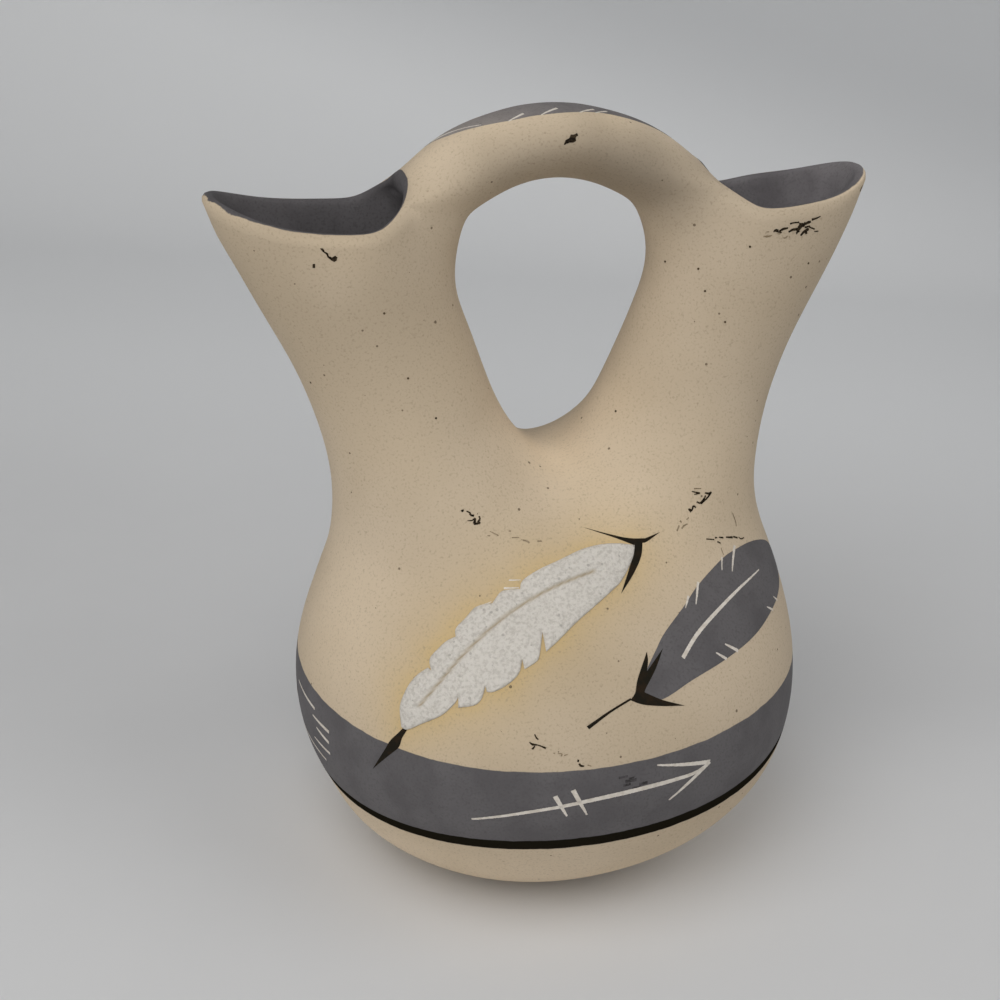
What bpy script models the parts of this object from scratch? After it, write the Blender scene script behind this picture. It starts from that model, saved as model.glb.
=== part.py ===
"""Wedding vase: a round ceramic vase with two flared spouts and a bridge handle, as the potter's parts.

Metres, +Z up, +X from the middle towards the right spout, the decorated front at -Y.
The origin is the middle of the foot, on the surface that the vase stands on.

The slab, bowl and belly are turned on the wheel. Everything above them is one smooth skin, modelled as a
coarse cage, and then parted along the potter's joints into shoulder, fork, spouts and handle.
"""

import math

import bmesh
import bpy
import numpy as np
from mathutils import Matrix, Vector

# Turned body
FOOT_RADIUS = 0.0330
FOOT_FLARE = 1.70
BELLY_RADIUS = 0.0684
BELLY_HEIGHT = 0.0510
FLOOR_THICKNESS = 0.0070
WALL = 0.0050
BOWL_TOP = 0.0322
BAND_TOP = 0.0584

# Neck, which is wider from spout to spout than from front to back
WAIST_HALF_WIDTH = 0.0569
WAIST_HALF_DEPTH = 0.0315
WAIST_HEIGHT = 0.1048
NECK_TAPER = -0.72
SHOULDER_TOP = 0.0860
SPLIT_HEIGHT = 0.0960

# Spouts and their mouths
TIP_REACH = 0.0860
TIP_HEIGHT = 0.1853
TIP_FLARE = 0.39
MOUTH_DIP_REACH = 0.0520
MOUTH_DIP_HEIGHT = 0.1788
MOUTH_HALF_DEPTH = 0.0200
MOUTH_END_REACH = 0.0355
MOUTH_END_HEIGHT = 0.1903
RIM_WALL = 0.0032

# Opening between the spouts, and the handle over it
CROTCH_HEIGHT = 0.1140
CROTCH_ROUNDING = 0.0104
HOLE_HALF_WIDTH = 0.0265
HOLE_WIDE_HEIGHT = 0.1670
HOLE_NARROWING = 0.0096
HOLE_SHOULDER = 0.0090
HANDLE_UNDERSIDE = 0.1863
HANDLE_CROWN = 0.0147
HANDLE_TOP = 0.2036
HANDLE_HALF_DEPTH = 0.0130
HANDLE_ROOT_HALF_DEPTH = 0.0143

# Raised feather on the shoulder: its own sizes, and where it is aimed at the vase's axis, in degrees
FEATHER_LENGTH = 0.0735
FEATHER_HALF_WIDTH = 0.0102
FEATHER_THICKNESS = 0.0008
QUILL_WIDTH = 0.0012
FEATHER_AIM_HEIGHT = 0.0459
FEATHER_AZIMUTH = -23.7
FEATHER_TILT = 38.6
FEATHER_SLANT = 40.0

# Joints: each piece starts this far above the one that carries it
JOINT_GAP = 0.0003

# Fineness of the solids
TURN_STEPS = 48
PROFILE_POINTS = 6
HALF_RING_POINTS = 13
SADDLE_POINTS = 3
CAGE_FIT_PASSES = 6
SKIN_LEVEL = 1
FEATHER_STEPS = 24

# Shape of the cage: shares of the way up a spout's outer side and the opening's side, and of the handle's curves
SPOUT_LEVELS = ((0.16, 0.23), (0.34, 0.45), (0.53, 0.68), (0.75, 0.90))
HANDLE_SHARES = (1 / 3, 2 / 3, 1.0)
ROOT_SHARE = 0.38
BEAK_SHARPNESS = 1.15

SKIN_PARTS = ("below", "shoulder", "fork", "spout", "handle")
CREAM_SLIP = (0.62, 0.50, 0.34)
GREY_SLIP = (0.10, 0.095, 0.10)
WHITE_SLIP = (0.75, 0.72, 0.68)


def clear_scene():
    for obj in list(bpy.data.objects):
        bpy.data.objects.remove(obj, do_unlink=True)


def fired_slip(name, colour, roughness=0.85):
    """Matt fired clay slip."""
    material = bpy.data.materials.new(name)
    material.use_nodes = True
    shader = material.node_tree.nodes["Principled BSDF"]
    shader.inputs["Base Color"].default_value = (*colour, 1)
    shader.inputs["Roughness"].default_value = roughness
    shader.inputs["Metallic"].default_value = 0
    return material


def hermite(at, start, end):
    """Height on a smooth curve from start to end, each a place, a value and a slope there."""
    (x0, y0, slope0), (x1, y1, slope1) = start, end
    span = x1 - x0
    t = (at - x0) / span
    return (
        (2 * t**3 - 3 * t**2 + 1) * y0
        + (t**3 - 2 * t**2 + t) * span * slope0
        + (3 * t**2 - 2 * t**3) * y1
        + (t**3 - t**2) * span * slope1
    )


def half_width(z):
    """Half width of the vase from spout to spout, from the foot to the spouts' tips."""
    foot = (0.0, FOOT_RADIUS, FOOT_FLARE)
    belly = (BELLY_HEIGHT, BELLY_RADIUS, 0.0)
    waist = (WAIST_HEIGHT, WAIST_HALF_WIDTH, 0.0)
    tip = (TIP_HEIGHT, TIP_REACH, TIP_FLARE)
    if z < BELLY_HEIGHT:
        return hermite(z, foot, belly)
    if z < WAIST_HEIGHT:
        return hermite(z, belly, waist)
    return hermite(z, waist, tip)


def half_depth(z):
    """Half depth from front to back: round up to the band's top, then drawn in to the mouths."""
    if z <= BAND_TOP:
        return half_width(z)
    step = 1e-5
    slope = (half_width(BAND_TOP + step) - half_width(BAND_TOP - step)) / (2 * step)
    band = (BAND_TOP, half_width(BAND_TOP), slope)
    waist = (WAIST_HEIGHT, WAIST_HALF_DEPTH, NECK_TAPER)
    mouth = (MOUTH_DIP_HEIGHT, MOUTH_HALF_DEPTH, 0.0)
    if z < WAIST_HEIGHT:
        return hermite(z, band, waist)
    return hermite(min(z, MOUTH_DIP_HEIGHT), waist, mouth)


def bezier_point(knots, t):
    """Point at t, from 0 to 1, on the curve of a start, two handles and an end."""
    a, b, c, d = (Vector(k) for k in knots)
    u = 1 - t
    return a * u**3 + b * (3 * u * u * t) + c * (3 * u * t * t) + d * t**3


def hole_side(t):
    """Side of the opening as (x, z), from the crotch up to where the opening is widest."""
    crotch = (0.0, CROTCH_HEIGHT)
    widest = (HOLE_HALF_WIDTH, HOLE_WIDE_HEIGHT)
    out = (CROTCH_ROUNDING, CROTCH_HEIGHT)
    down = (HOLE_HALF_WIDTH, HOLE_WIDE_HEIGHT - HOLE_NARROWING)
    return bezier_point((crotch, out, down, widest), t)


def handle_underside(t):
    """Underside of the handle as (x, z), from the opening's widest place to the middle of the handle."""
    widest = (HOLE_HALF_WIDTH, HOLE_WIDE_HEIGHT)
    up = (HOLE_HALF_WIDTH, HOLE_WIDE_HEIGHT + HOLE_SHOULDER)
    out = (HANDLE_CROWN, HANDLE_UNDERSIDE)
    middle = (0.0, HANDLE_UNDERSIDE)
    return bezier_point((widest, up, out, middle), t)


def handle_back(t):
    """Top of the handle as (x, z), from the mouth's inner end to the middle of the handle."""
    end = (MOUTH_END_REACH, MOUTH_END_HEIGHT)
    rise = HANDLE_TOP - MOUTH_END_HEIGHT
    up = (MOUTH_END_REACH - 0.5 * rise, MOUTH_END_HEIGHT + 0.5 * rise)
    out = (0.4 * MOUTH_END_REACH, HANDLE_TOP)
    middle = (0.0, HANDLE_TOP)
    return bezier_point((end, up, out, middle), t)


class Cage:
    """Right half of a coarse cage, open at x = 0, that a mirror and a subdivision turn into the skin."""

    def __init__(self):
        self.points = []
        self.faces = []
        self.parts = []

    def add(self, points):
        first = len(self.points)
        self.points += [Vector(p) for p in points]
        return list(range(first, len(self.points)))

    def skin(self, lower, upper, part, closed):
        """Quads of one part between two rows of points."""
        count = len(lower) if closed else len(lower) - 1
        for i in range(count):
            j = (i + 1) % len(lower)
            self.faces.append((lower[i], lower[j], upper[j], upper[i]))
            self.parts.append(SKIN_PARTS.index(part))


def body_ring(z):
    """Half of the oval section at a height, from the front over the right side to the back."""
    angles = np.linspace(-math.pi / 2, math.pi / 2, HALF_RING_POINTS)
    a, b = half_width(z), half_depth(z)
    return [(a * max(math.cos(t), 0.0) if 0 < i < HALF_RING_POINTS - 1 else 0.0, b * math.sin(t), z)
            for i, t in enumerate(angles)]


def spout_angles():
    """Angles round a spout's section, 0 at its outer side: the outer points, then those facing the opening."""
    count = HALF_RING_POINTS + SADDLE_POINTS
    step = 2 * math.pi / count
    first = -(HALF_RING_POINTS - 1) / 2 * step
    return [first + i * step for i in range(count)]


def saddle_row():
    """The ridge of the crotch on the plane x = 0, from back to front, without its ends."""
    depth = half_depth(SPLIT_HEIGHT)
    rise = CROTCH_HEIGHT - SPLIT_HEIGHT
    steps = [1 - 2 * (i + 1) / (SADDLE_POINTS + 1) for i in range(SADDLE_POINTS)]
    return [(0.0, depth * s, SPLIT_HEIGHT + rise * math.sqrt(1 - s * s)) for s in steps]


def spout_ring(outer_height, inner):
    """Section of the right spout between a height on its outer side and a point (x, z) on the opening's side."""
    outer = Vector((half_width(outer_height), outer_height))
    inner = Vector(inner)
    middle, half = (outer + inner) / 2, (outer - inner) / 2
    depth = half_depth(middle.y)
    return [
        (middle.x + half.x * math.cos(t), depth * math.sin(t), middle.y + half.y * math.cos(t))
        for t in spout_angles()
    ]


def rim_ring():
    """The spout's top: its rim, and the start of the handle's underside."""
    root = handle_underside(ROOT_SHARE)
    points = []
    for t in spout_angles()[:HALF_RING_POINTS]:
        across, along = math.sin(t), math.cos(t)
        if along >= 0:
            reach = MOUTH_DIP_REACH + (TIP_REACH - MOUTH_DIP_REACH) * along
            height = MOUTH_DIP_HEIGHT + (TIP_HEIGHT - MOUTH_DIP_HEIGHT) * along * along
            depth = MOUTH_HALF_DEPTH * math.copysign(abs(across) ** BEAK_SHARPNESS, across)
        else:
            back = -along / math.cos(math.pi / 4)
            reach = MOUTH_DIP_REACH + (MOUTH_END_REACH - MOUTH_DIP_REACH) * 0.88 * back
            height = MOUTH_DIP_HEIGHT + (MOUTH_END_HEIGHT - MOUTH_DIP_HEIGHT) * 0.5 * back * back
            corner = HANDLE_ROOT_HALF_DEPTH / math.sin(math.pi / 4)
            depth = across * (MOUTH_HALF_DEPTH + (corner - MOUTH_HALF_DEPTH) * back * back)
        points.append((reach, depth, height))
    shoulder = 0.70 * HANDLE_ROOT_HALF_DEPTH
    lift = Vector((0.25 * (MOUTH_END_REACH - root.x), 0.14 * (MOUTH_END_HEIGHT - root.y)))
    points += [
        (root.x + lift.x, shoulder, root.y + lift.y),
        (root.x, 0.0, root.y),
        (root.x + lift.x, -shoulder, root.y + lift.y),
    ]
    return points


def mouth_end():
    """The rim's inner end, from back to front, where the handle's top begins."""
    side = 0.5 * HANDLE_ROOT_HALF_DEPTH
    drop = 0.13 * (MOUTH_END_HEIGHT - MOUTH_DIP_HEIGHT)
    return [
        (MOUTH_END_REACH, side, MOUTH_END_HEIGHT - drop),
        (MOUTH_END_REACH, 0.0, MOUTH_END_HEIGHT),
        (MOUTH_END_REACH, -side, MOUTH_END_HEIGHT - drop),
    ]


def handle_ring(share):
    """Oval section of the handle, some share of the way from the right spout to the middle."""
    low = handle_underside(ROOT_SHARE + (1 - ROOT_SHARE) * share)
    top = handle_back(share)
    middle, half = (top + low) / 2, (top - low) / 2
    depth = HANDLE_ROOT_HALF_DEPTH + (HANDLE_HALF_DEPTH - HANDLE_ROOT_HALF_DEPTH) * share
    angles = [i * math.pi / 4 for i in range(8)]
    return [
        (middle.x + half.x * math.sin(t), depth * math.cos(t), middle.y + half.y * math.sin(t))
        for t in angles
    ]


def skin_cage():
    """The cage of everything above the belly, with the points that the finished skin passes through."""
    cage = Cage()
    spacing = (SHOULDER_TOP - BAND_TOP) / 3
    heights = [BAND_TOP + spacing * i for i in range(-2, 4)] + [SPLIT_HEIGHT]
    rings = [cage.add(body_ring(z)) for z in heights]
    for i, (lower, upper) in enumerate(zip(rings, rings[1:])):
        part = "below" if i < 2 else "shoulder" if i < 5 else "fork"
        cage.skin(lower, upper, part, closed=False)
    level = rings[-1] + cage.add(saddle_row())
    for i, (share, at) in enumerate(SPOUT_LEVELS):
        height = SPLIT_HEIGHT + share * (TIP_HEIGHT - SPLIT_HEIGHT)
        upper = cage.add(spout_ring(height, hole_side(at)))
        cage.skin(level, upper, "fork" if i < 2 else "spout", closed=True)
        level = upper
    rim = cage.add(rim_ring())
    cage.skin(level, rim, "spout", closed=True)
    front, back = rim[0], rim[HALF_RING_POINTS - 1]
    facing = rim[HALF_RING_POINTS:]
    section = [back, *cage.add(mouth_end()), front, *reversed(facing)]
    for share in HANDLE_SHARES:
        upper = cage.add(handle_ring(share))
        cage.skin(section, upper, "handle", closed=True)
        section = upper
    return cage


def evaluated_mesh(obj):
    graph = bpy.context.evaluated_depsgraph_get()
    graph.update()
    return bpy.data.meshes.new_from_object(obj.evaluated_get(graph))


def fitted_skin(helpers):
    """The smooth skin: the cage mirrored and subdivided, with its points moved until the skin meets them."""
    cage = skin_cage()
    mesh = bpy.data.meshes.new("skin_cage")
    mesh.from_pydata(cage.points, [], cage.faces)
    mesh.attributes.new("part", "INT", "FACE").data.foreach_set("value", cage.parts)
    obj = add_helper("skin_cage", mesh, helpers)
    mirror = obj.modifiers.new("both_sides", "MIRROR")
    mirror.merge_threshold = 1e-6
    smooth = obj.modifiers.new("smooth", "SUBSURF")
    smooth.levels = SKIN_LEVEL
    smooth.render_levels = SKIN_LEVEL
    for _ in range(CAGE_FIT_PASSES):
        skin = evaluated_mesh(obj)
        for vertex, met, wanted in zip(mesh.vertices, skin.vertices, cage.points):
            vertex.co += wanted - met.co
        mesh.update()
    return obj


def add_helper(name, mesh, helpers):
    obj = bpy.data.objects.new(name, mesh)
    obj.hide_render = True
    obj.display_type = "WIRE"
    helpers.objects.link(obj)
    return obj


def add_piece(name, mesh, colour, pieces):
    obj = bpy.data.objects.new(name, mesh)
    mesh.materials.clear()
    mesh.materials.append(fired_slip(name + "_slip", colour))
    pieces.objects.link(obj)
    return obj


def seam_edges(bm, first, second):
    """Edges between the faces of two parts."""
    layer = bm.faces.layers.int["part"]
    wanted = {SKIN_PARTS.index(first), SKIN_PARTS.index(second)}
    return [e for e in bm.edges if len(e.link_faces) == 2 and {f[layer] for f in e.link_faces} == wanted]


def edge_loops(edges):
    """Groups of joined edges, as lists of their points."""
    loops = []
    left = set(edges)
    while left:
        group = {left.pop()}
        grown = True
        while grown:
            points = {v for e in group for v in e.verts}
            more = {e for e in left if points & set(e.verts)}
            grown = bool(more)
            group |= more
            left -= more
        loops.append(group)
    return loops


def cap(bm, edges, part):
    """Fan of faces that closes a loop of edges."""
    layer = bm.faces.layers.int["part"]
    points = {v for e in edges for v in e.verts}
    middle = bm.verts.new(sum((v.co for v in points), Vector()) / len(points))
    for edge in edges:
        face = bm.faces.new((*edge.verts, middle))
        face[layer] = SKIN_PARTS.index(part)


def open_gap(bm, points):
    """Draw the points of a seam back into their own piece by the joint's gap."""
    seam = set(points)
    moves = []
    for vertex in points:
        inward = [e.other_vert(vertex).co - vertex.co for e in vertex.link_edges]
        inward = [d for d, e in zip(inward, vertex.link_edges) if e.other_vert(vertex) not in seam]
        moves.append(sum((d.normalized() for d in inward), Vector()).normalized() * JOINT_GAP)
    for vertex, move in zip(points, moves):
        vertex.co += move


def handle_roots(bm):
    """The handle's faces, and the loops of edges where it leaves the spouts."""
    layer = bm.faces.layers.int["part"]
    handle = {f for f in bm.faces if f[layer] == SKIN_PARTS.index("handle")}
    ends = [e for e in bm.edges if sum(f in handle for f in e.link_faces) == 1]
    return list(handle), edge_loops(ends)


def handle_mesh(skin):
    """The handle as a solid coil, closed where it meets the spouts."""
    bm = bmesh.new()
    bm.from_mesh(skin)
    handle, roots = handle_roots(bm)
    bmesh.ops.delete(bm, geom=list(set(bm.faces) - set(handle)), context="FACES")
    open_gap(bm, list({v for root in roots for e in root for v in e.verts}))
    for root in roots:
        cap(bm, root, "handle")
    return finished(bm, "handle")


def face_outward(bm):
    """Turn an open skin's faces outward, as the one that reaches furthest to the right shows."""
    bmesh.ops.recalc_face_normals(bm, faces=bm.faces)
    furthest = max(bm.faces, key=lambda f: f.calc_center_median().x)
    if furthest.normal.x < 0:
        bmesh.ops.reverse_faces(bm, faces=bm.faces)


def vessel_wall(skin, helpers):
    """The hollow wall above the belly: the skin without the handle, made as thick as the clay."""
    bm = bmesh.new()
    bm.from_mesh(skin)
    handle, roots = handle_roots(bm)
    for root in roots:
        cap(bm, root, "spout")
    bmesh.ops.delete(bm, geom=handle, context="FACES")
    face_outward(bm)
    mesh = bpy.data.meshes.new("vessel_wall")
    bm.to_mesh(mesh)
    bm.free()
    obj = add_helper("vessel_wall", mesh, helpers)
    group = obj.vertex_groups.new(name="clay")
    thin = RIM_WALL / WALL
    span = MOUTH_DIP_HEIGHT - CROTCH_HEIGHT
    for vertex in mesh.vertices:
        rise = min(max((vertex.co.z - CROTCH_HEIGHT) / span, 0.0), 1.0)
        group.add([vertex.index], 1 + (thin - 1) * rise, "REPLACE")
    thick = obj.modifiers.new("clay", "SOLIDIFY")
    thick.thickness = WALL
    thick.offset = -1
    thick.vertex_group = group.name
    return evaluated_mesh(obj)


def wall_piece(wall, part, side=0):
    """One part of the wall, closed along its seams. A side of 1 or -1 keeps only that half of the vase."""
    bm = bmesh.new()
    bm.from_mesh(wall)
    layer = bm.faces.layers.int["part"]
    number = SKIN_PARTS.index(part)
    lower = [v for e in seam_edges(bm, SKIN_PARTS[number - 1], part) for v in e.verts]
    others = [f for f in bm.faces if f[layer] != number or f.calc_center_median().x * side < 0]
    bmesh.ops.delete(bm, geom=others, context="FACES")
    open_gap(bm, list({v for v in lower if v.is_valid}))
    loops = edge_loops([e for e in bm.edges if e.is_boundary])
    middles = [sum((v.co for e in loop for v in e.verts), Vector()) / (2 * len(loop)) for loop in loops]
    while loops:
        first, middle = loops.pop(0), middles.pop(0)
        partner = min(range(len(loops)), key=lambda i: (middles[i] - middle).length)
        second = loops.pop(partner)
        middles.pop(partner)
        bmesh.ops.bridge_loops(bm, edges=[*first, *second])
    return finished(bm, part)


def finished(bm, name):
    bmesh.ops.recalc_face_normals(bm, faces=bm.faces)
    mesh = bpy.data.meshes.new(name)
    bm.to_mesh(mesh)
    bm.free()
    return mesh


def outline_slope(z):
    step = 1e-5
    return (half_width(z + step) - half_width(z - step)) / (2 * step)


def inside_point(z):
    """Point (radius, height) inside the wall, square to the outline at a height."""
    slope = outline_slope(z)
    length = math.hypot(1, slope)
    return half_width(z) - WALL / length, z + WALL * slope / length


def inside_radius(z):
    """Radius of the cavity at a height."""
    points = [inside_point(-WALL + i * (BAND_TOP + WALL) / 200) for i in range(201)]
    return float(np.interp(z, [p[1] for p in points], [p[0] for p in points]))


def turned(name, profile, closed, helpers):
    """Solid that a profile of (radius, height) points sweeps round the vertical axis."""
    mesh = bpy.data.meshes.new(name + "_profile")
    count = len(profile)
    edges = [(i, (i + 1) % count) for i in range(count if closed else count - 1)]
    mesh.from_pydata([(r, 0.0, z) for r, z in profile], edges, [])
    obj = add_helper(name + "_profile", mesh, helpers)
    screw = obj.modifiers.new("turn", "SCREW")
    screw.steps = TURN_STEPS
    screw.render_steps = TURN_STEPS
    screw.use_merge_vertices = True
    screw.merge_threshold = 1e-6
    bm = bmesh.new()
    bm.from_mesh(evaluated_mesh(obj))
    return finished(bm, name)


def base_slab(helpers):
    side = [FLOOR_THICKNESS * i / 3 for i in range(4)]
    profile = [(0.0, 0.0)] + [(half_width(z), z) for z in side] + [(0.0, FLOOR_THICKNESS)]
    return turned("base_slab", profile, False, helpers)


def lower_bowl(helpers):
    heights = np.linspace(FLOOR_THICKNESS + JOINT_GAP, BOWL_TOP, PROFILE_POINTS)
    outer = [(half_width(z), float(z)) for z in heights]
    inner = [(inside_radius(z), float(z)) for z in heights]
    return turned("lower_bowl", outer + inner[::-1], True, helpers)


def belly_course(helpers):
    """The widest course. Its top is square to the wall, as the shoulder's underside is."""
    heights = np.linspace(BOWL_TOP + JOINT_GAP, BAND_TOP, PROFILE_POINTS)
    outer = [(half_width(z), float(z)) for z in heights]
    top = inside_point(BAND_TOP)
    inner_heights = np.linspace(BOWL_TOP + JOINT_GAP, top[1], PROFILE_POINTS)
    inner = [(inside_radius(z), float(z)) for z in inner_heights]
    return turned("belly_course", outer + inner[::-1], True, helpers)


def feather_sheet():
    """The feather's flat outline along x, notched at its edges, with a slit for the quill."""
    vertices = []
    faces = []
    for i in range(FEATHER_STEPS + 1):
        along = i / FEATHER_STEPS
        swell = math.sin(math.pi * (0.03 + 0.94 * along)) ** 0.85
        notch = 0.84 if i % 4 == 2 else 1.0
        edge = max(FEATHER_HALF_WIDTH * swell * notch, 1.4 * QUILL_WIDTH)
        slit = QUILL_WIDTH / 2
        middle = (slit + edge) / 2
        for across in (-edge, -middle, -slit, slit, middle, edge):
            vertices.append(((along - 0.5) * FEATHER_LENGTH, across, 0.0))
    for i in range(FEATHER_STEPS):
        for j in range(5):
            if j == 2 and 0.1 < (i + 0.5) / FEATHER_STEPS < 0.8:
                continue
            first = i * 6 + j
            faces.append((first, first + 6, first + 7, first + 1))
    mesh = bpy.data.meshes.new("feather_sheet")
    mesh.from_pydata(vertices, [], faces)
    return mesh


def white_feather(skin_object, helpers):
    """The raised feather: a flat sheet pressed onto the skin from the front, and thickened."""
    azimuth = math.radians(FEATHER_AZIMUTH)
    tilt = math.radians(FEATHER_TILT)
    slant = math.radians(FEATHER_SLANT)
    out = Vector((math.sin(azimuth) * math.cos(tilt), -math.cos(azimuth) * math.cos(tilt), math.sin(tilt)))
    level = Vector((math.cos(azimuth), math.sin(azimuth), 0.0))
    rise = out.cross(level)
    along = level * math.cos(slant) + rise * math.sin(slant)
    across = rise * math.cos(slant) - level * math.sin(slant)
    start = Vector((0.0, 0.0, FEATHER_AIM_HEIGHT)) + out * (3 * BELLY_RADIUS)
    obj = add_helper("feather_sheet", feather_sheet(), helpers)
    obj.matrix_world = Matrix((
        (along.x, across.x, out.x, start.x),
        (along.y, across.y, out.y, start.y),
        (along.z, across.z, out.z, start.z),
        (0.0, 0.0, 0.0, 1.0),
    ))
    press = obj.modifiers.new("press", "SHRINKWRAP")
    press.target = skin_object
    press.wrap_method = "PROJECT"
    press.wrap_mode = "ABOVE_SURFACE"
    press.use_project_z = True
    press.use_positive_direction = False
    press.use_negative_direction = True
    press.offset = JOINT_GAP
    thick = obj.modifiers.new("relief", "SOLIDIFY")
    thick.thickness = FEATHER_THICKNESS
    thick.offset = 1
    mesh = evaluated_mesh(obj)
    mesh.transform(obj.matrix_world)
    bm = bmesh.new()
    bm.from_mesh(mesh)
    return finished(bm, "white_feather")


def main():
    clear_scene()
    pieces = bpy.data.collections.new("wedding_vase")
    helpers = bpy.data.collections.new("helpers")
    bpy.context.scene.collection.children.link(pieces)
    bpy.context.scene.collection.children.link(helpers)
    skin_object = fitted_skin(helpers)
    skin = evaluated_mesh(skin_object)
    wall = vessel_wall(skin, helpers)
    add_piece("base_slab", base_slab(helpers), CREAM_SLIP, pieces)
    add_piece("lower_bowl", lower_bowl(helpers), CREAM_SLIP, pieces)
    add_piece("belly_course", belly_course(helpers), GREY_SLIP, pieces)
    add_piece("shoulder", wall_piece(wall, "shoulder"), CREAM_SLIP, pieces)
    add_piece("fork", wall_piece(wall, "fork"), CREAM_SLIP, pieces)
    add_piece("left_spout", wall_piece(wall, "spout", -1), CREAM_SLIP, pieces)
    add_piece("right_spout", wall_piece(wall, "spout", 1), CREAM_SLIP, pieces)
    add_piece("handle", handle_mesh(skin), CREAM_SLIP, pieces)
    add_piece("white_feather", white_feather(skin_object, helpers), WHITE_SLIP, pieces)


main()
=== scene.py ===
"""Looks of a wedding vase: cream clay with a grey slip band, painted feathers and a raised white feather.

Metres, +Z up, +X from the middle towards the right spout, the decorated front at -Y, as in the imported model.
The visible surface is one smooth skin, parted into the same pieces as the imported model.
Paint and the raised feather are measured in millimetres.
"""

import math

import bmesh
import bpy
import numpy as np
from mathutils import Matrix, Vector, noise
from mathutils.bvhtree import BVHTree
from mathutils.geometry import delaunay_2d_cdt
from mathutils.interpolate import poly_3d_calc


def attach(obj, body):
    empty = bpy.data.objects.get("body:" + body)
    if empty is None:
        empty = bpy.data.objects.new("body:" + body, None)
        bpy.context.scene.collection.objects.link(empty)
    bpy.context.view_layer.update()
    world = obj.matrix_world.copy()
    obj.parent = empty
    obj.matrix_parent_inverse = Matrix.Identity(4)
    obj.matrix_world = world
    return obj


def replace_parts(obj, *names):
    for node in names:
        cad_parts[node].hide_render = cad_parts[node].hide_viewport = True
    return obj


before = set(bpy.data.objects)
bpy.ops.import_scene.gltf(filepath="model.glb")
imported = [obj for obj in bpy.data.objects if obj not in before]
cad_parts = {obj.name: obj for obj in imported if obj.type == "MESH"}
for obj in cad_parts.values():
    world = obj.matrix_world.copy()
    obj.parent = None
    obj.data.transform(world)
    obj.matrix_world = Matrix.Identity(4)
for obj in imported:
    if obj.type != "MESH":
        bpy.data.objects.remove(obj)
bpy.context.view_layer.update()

# Body
FOOT_RADIUS = 0.0330
FOOT_FLARE = 1.70
FOOT_ROUNDING = 0.0040
FOOT_ROUNDING_HEIGHT = 0.0140
BELLY_RADIUS = 0.0684
BELLY_HEIGHT = 0.0510
FLOOR_THICKNESS = 0.0070
WALL = 0.0050
BOWL_TOP = 0.0322
BAND_TOP = 0.0584
WAIST_HALF_WIDTH = 0.0569
WAIST_HALF_DEPTH = 0.0315
WAIST_HEIGHT = 0.1048
NECK_TAPER = -0.72
SHOULDER_TOP = 0.0860
SPLIT_HEIGHT = 0.0960

# Spouts and their mouths
TIP_REACH = 0.0845
TIP_HEIGHT = 0.1843
TIP_FLARE = 0.39
MOUTH_DIP_REACH = 0.0520
MOUTH_DIP_HEIGHT = 0.1776
MOUTH_HALF_DEPTH = 0.0200
MOUTH_END_REACH = 0.0362
MOUTH_END_HEIGHT = 0.1900
MOUTH_END_DROP = 0.0050
MOUTH_END_LEAN = 0.0030
RIM_WALL = 0.0032

# Opening between the spouts, and the handle over it
CROTCH_HEIGHT = 0.1147
CROTCH_ROUNDING = 0.0122
HOLE_HALF_WIDTH = 0.0261
HOLE_WIDE_HEIGHT = 0.1670
HOLE_NARROWING = 0.0096
HOLE_SHOULDER = 0.0090
HANDLE_UNDERSIDE = 0.1859
HANDLE_CROWN = 0.0147
HANDLE_TOP = 0.2037
HANDLE_HALF_DEPTH = 0.0130
HANDLE_ROOT_HALF_DEPTH = 0.0143
HANDLE_TAPER = 0.20
HANDLE_RUN_OUT = (0.47, 0.56)
HANDLE_TOP_SHARE = 0.40

# How a rim turns in from its lowest place to its inner end, as shares of the way there
RIM_TURN_REACH = 0.88
RIM_TURN_HEIGHT = 0.50
RIM_END_SIDE = 0.5
RIM_END_DROP = 0.13
ROOT_SIDE = 0.70
ROOT_LIFT = (0.25, 0.14)

# Hand-made unevenness. The foot is slightly oval, and the foot and the tips stand to the left.
# The right side of the shoulder and both spouts' flanks swell, and the opening stands to the right.
# The right tip is lower than the left one, and the right mouth starts further out.
FOOT_LEAN = 0.0036
FOOT_OVAL = 0.016
TIP_LEAN = 0.0010
SHOULDER_SWELL = 0.0014
OPENING_SHIFT = 0.0009
TIP_DROP = 0.0012
RIGHT_MOUTH_SHIFT = 0.0026
RIGHT_MOUTH_FRONT_SHARE = 0.4
RIGHT_END_SHIFT = 0.0010
RIGHT_MOUTH_TILT = 0.0012
RIGHT_MOUTH_RISE = 0.0004
LEFT_FLANK_SWELL = 0.0010
RIGHT_FLANK_SWELL = 0.0007

# Stretches over which the unevenness grows or fades, in height and from the middle outwards
FOOT_FADE = (0.004, 0.030)
TIP_OUT = (0.060, 0.085)
TIP_UP = (0.160, 0.182)
SWELL_UP = (0.052, 0.080)
SWELL_FADE = (0.080, 0.108)
SWELL_OUT = (0.015, 0.055)
OPENING_UP = (0.120, 0.150)
OPENING_FADE = (0.165, 0.188)
OPENING_EDGE = (0.025, 0.060)
FLANK_UP = (0.138, 0.165)
FLANK_FADE = (0.174, 0.186)
FLANK_OUT = (0.045, 0.065)
MOUTH_OUT = (0.022, 0.042)
MOUTH_EDGE = (0.052, 0.082)
MOUTH_UP = (0.160, 0.178)
MOUTH_FADE = (0.181, 0.200)
BEHIND_FADE = (0.179, 0.188)
END_OUT = (0.030, 0.042)
END_EDGE = (0.050, 0.066)
END_UP = (0.168, 0.178)
END_FADE = (0.181, 0.190)
TILT_EDGE = (0.042, 0.060)

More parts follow.
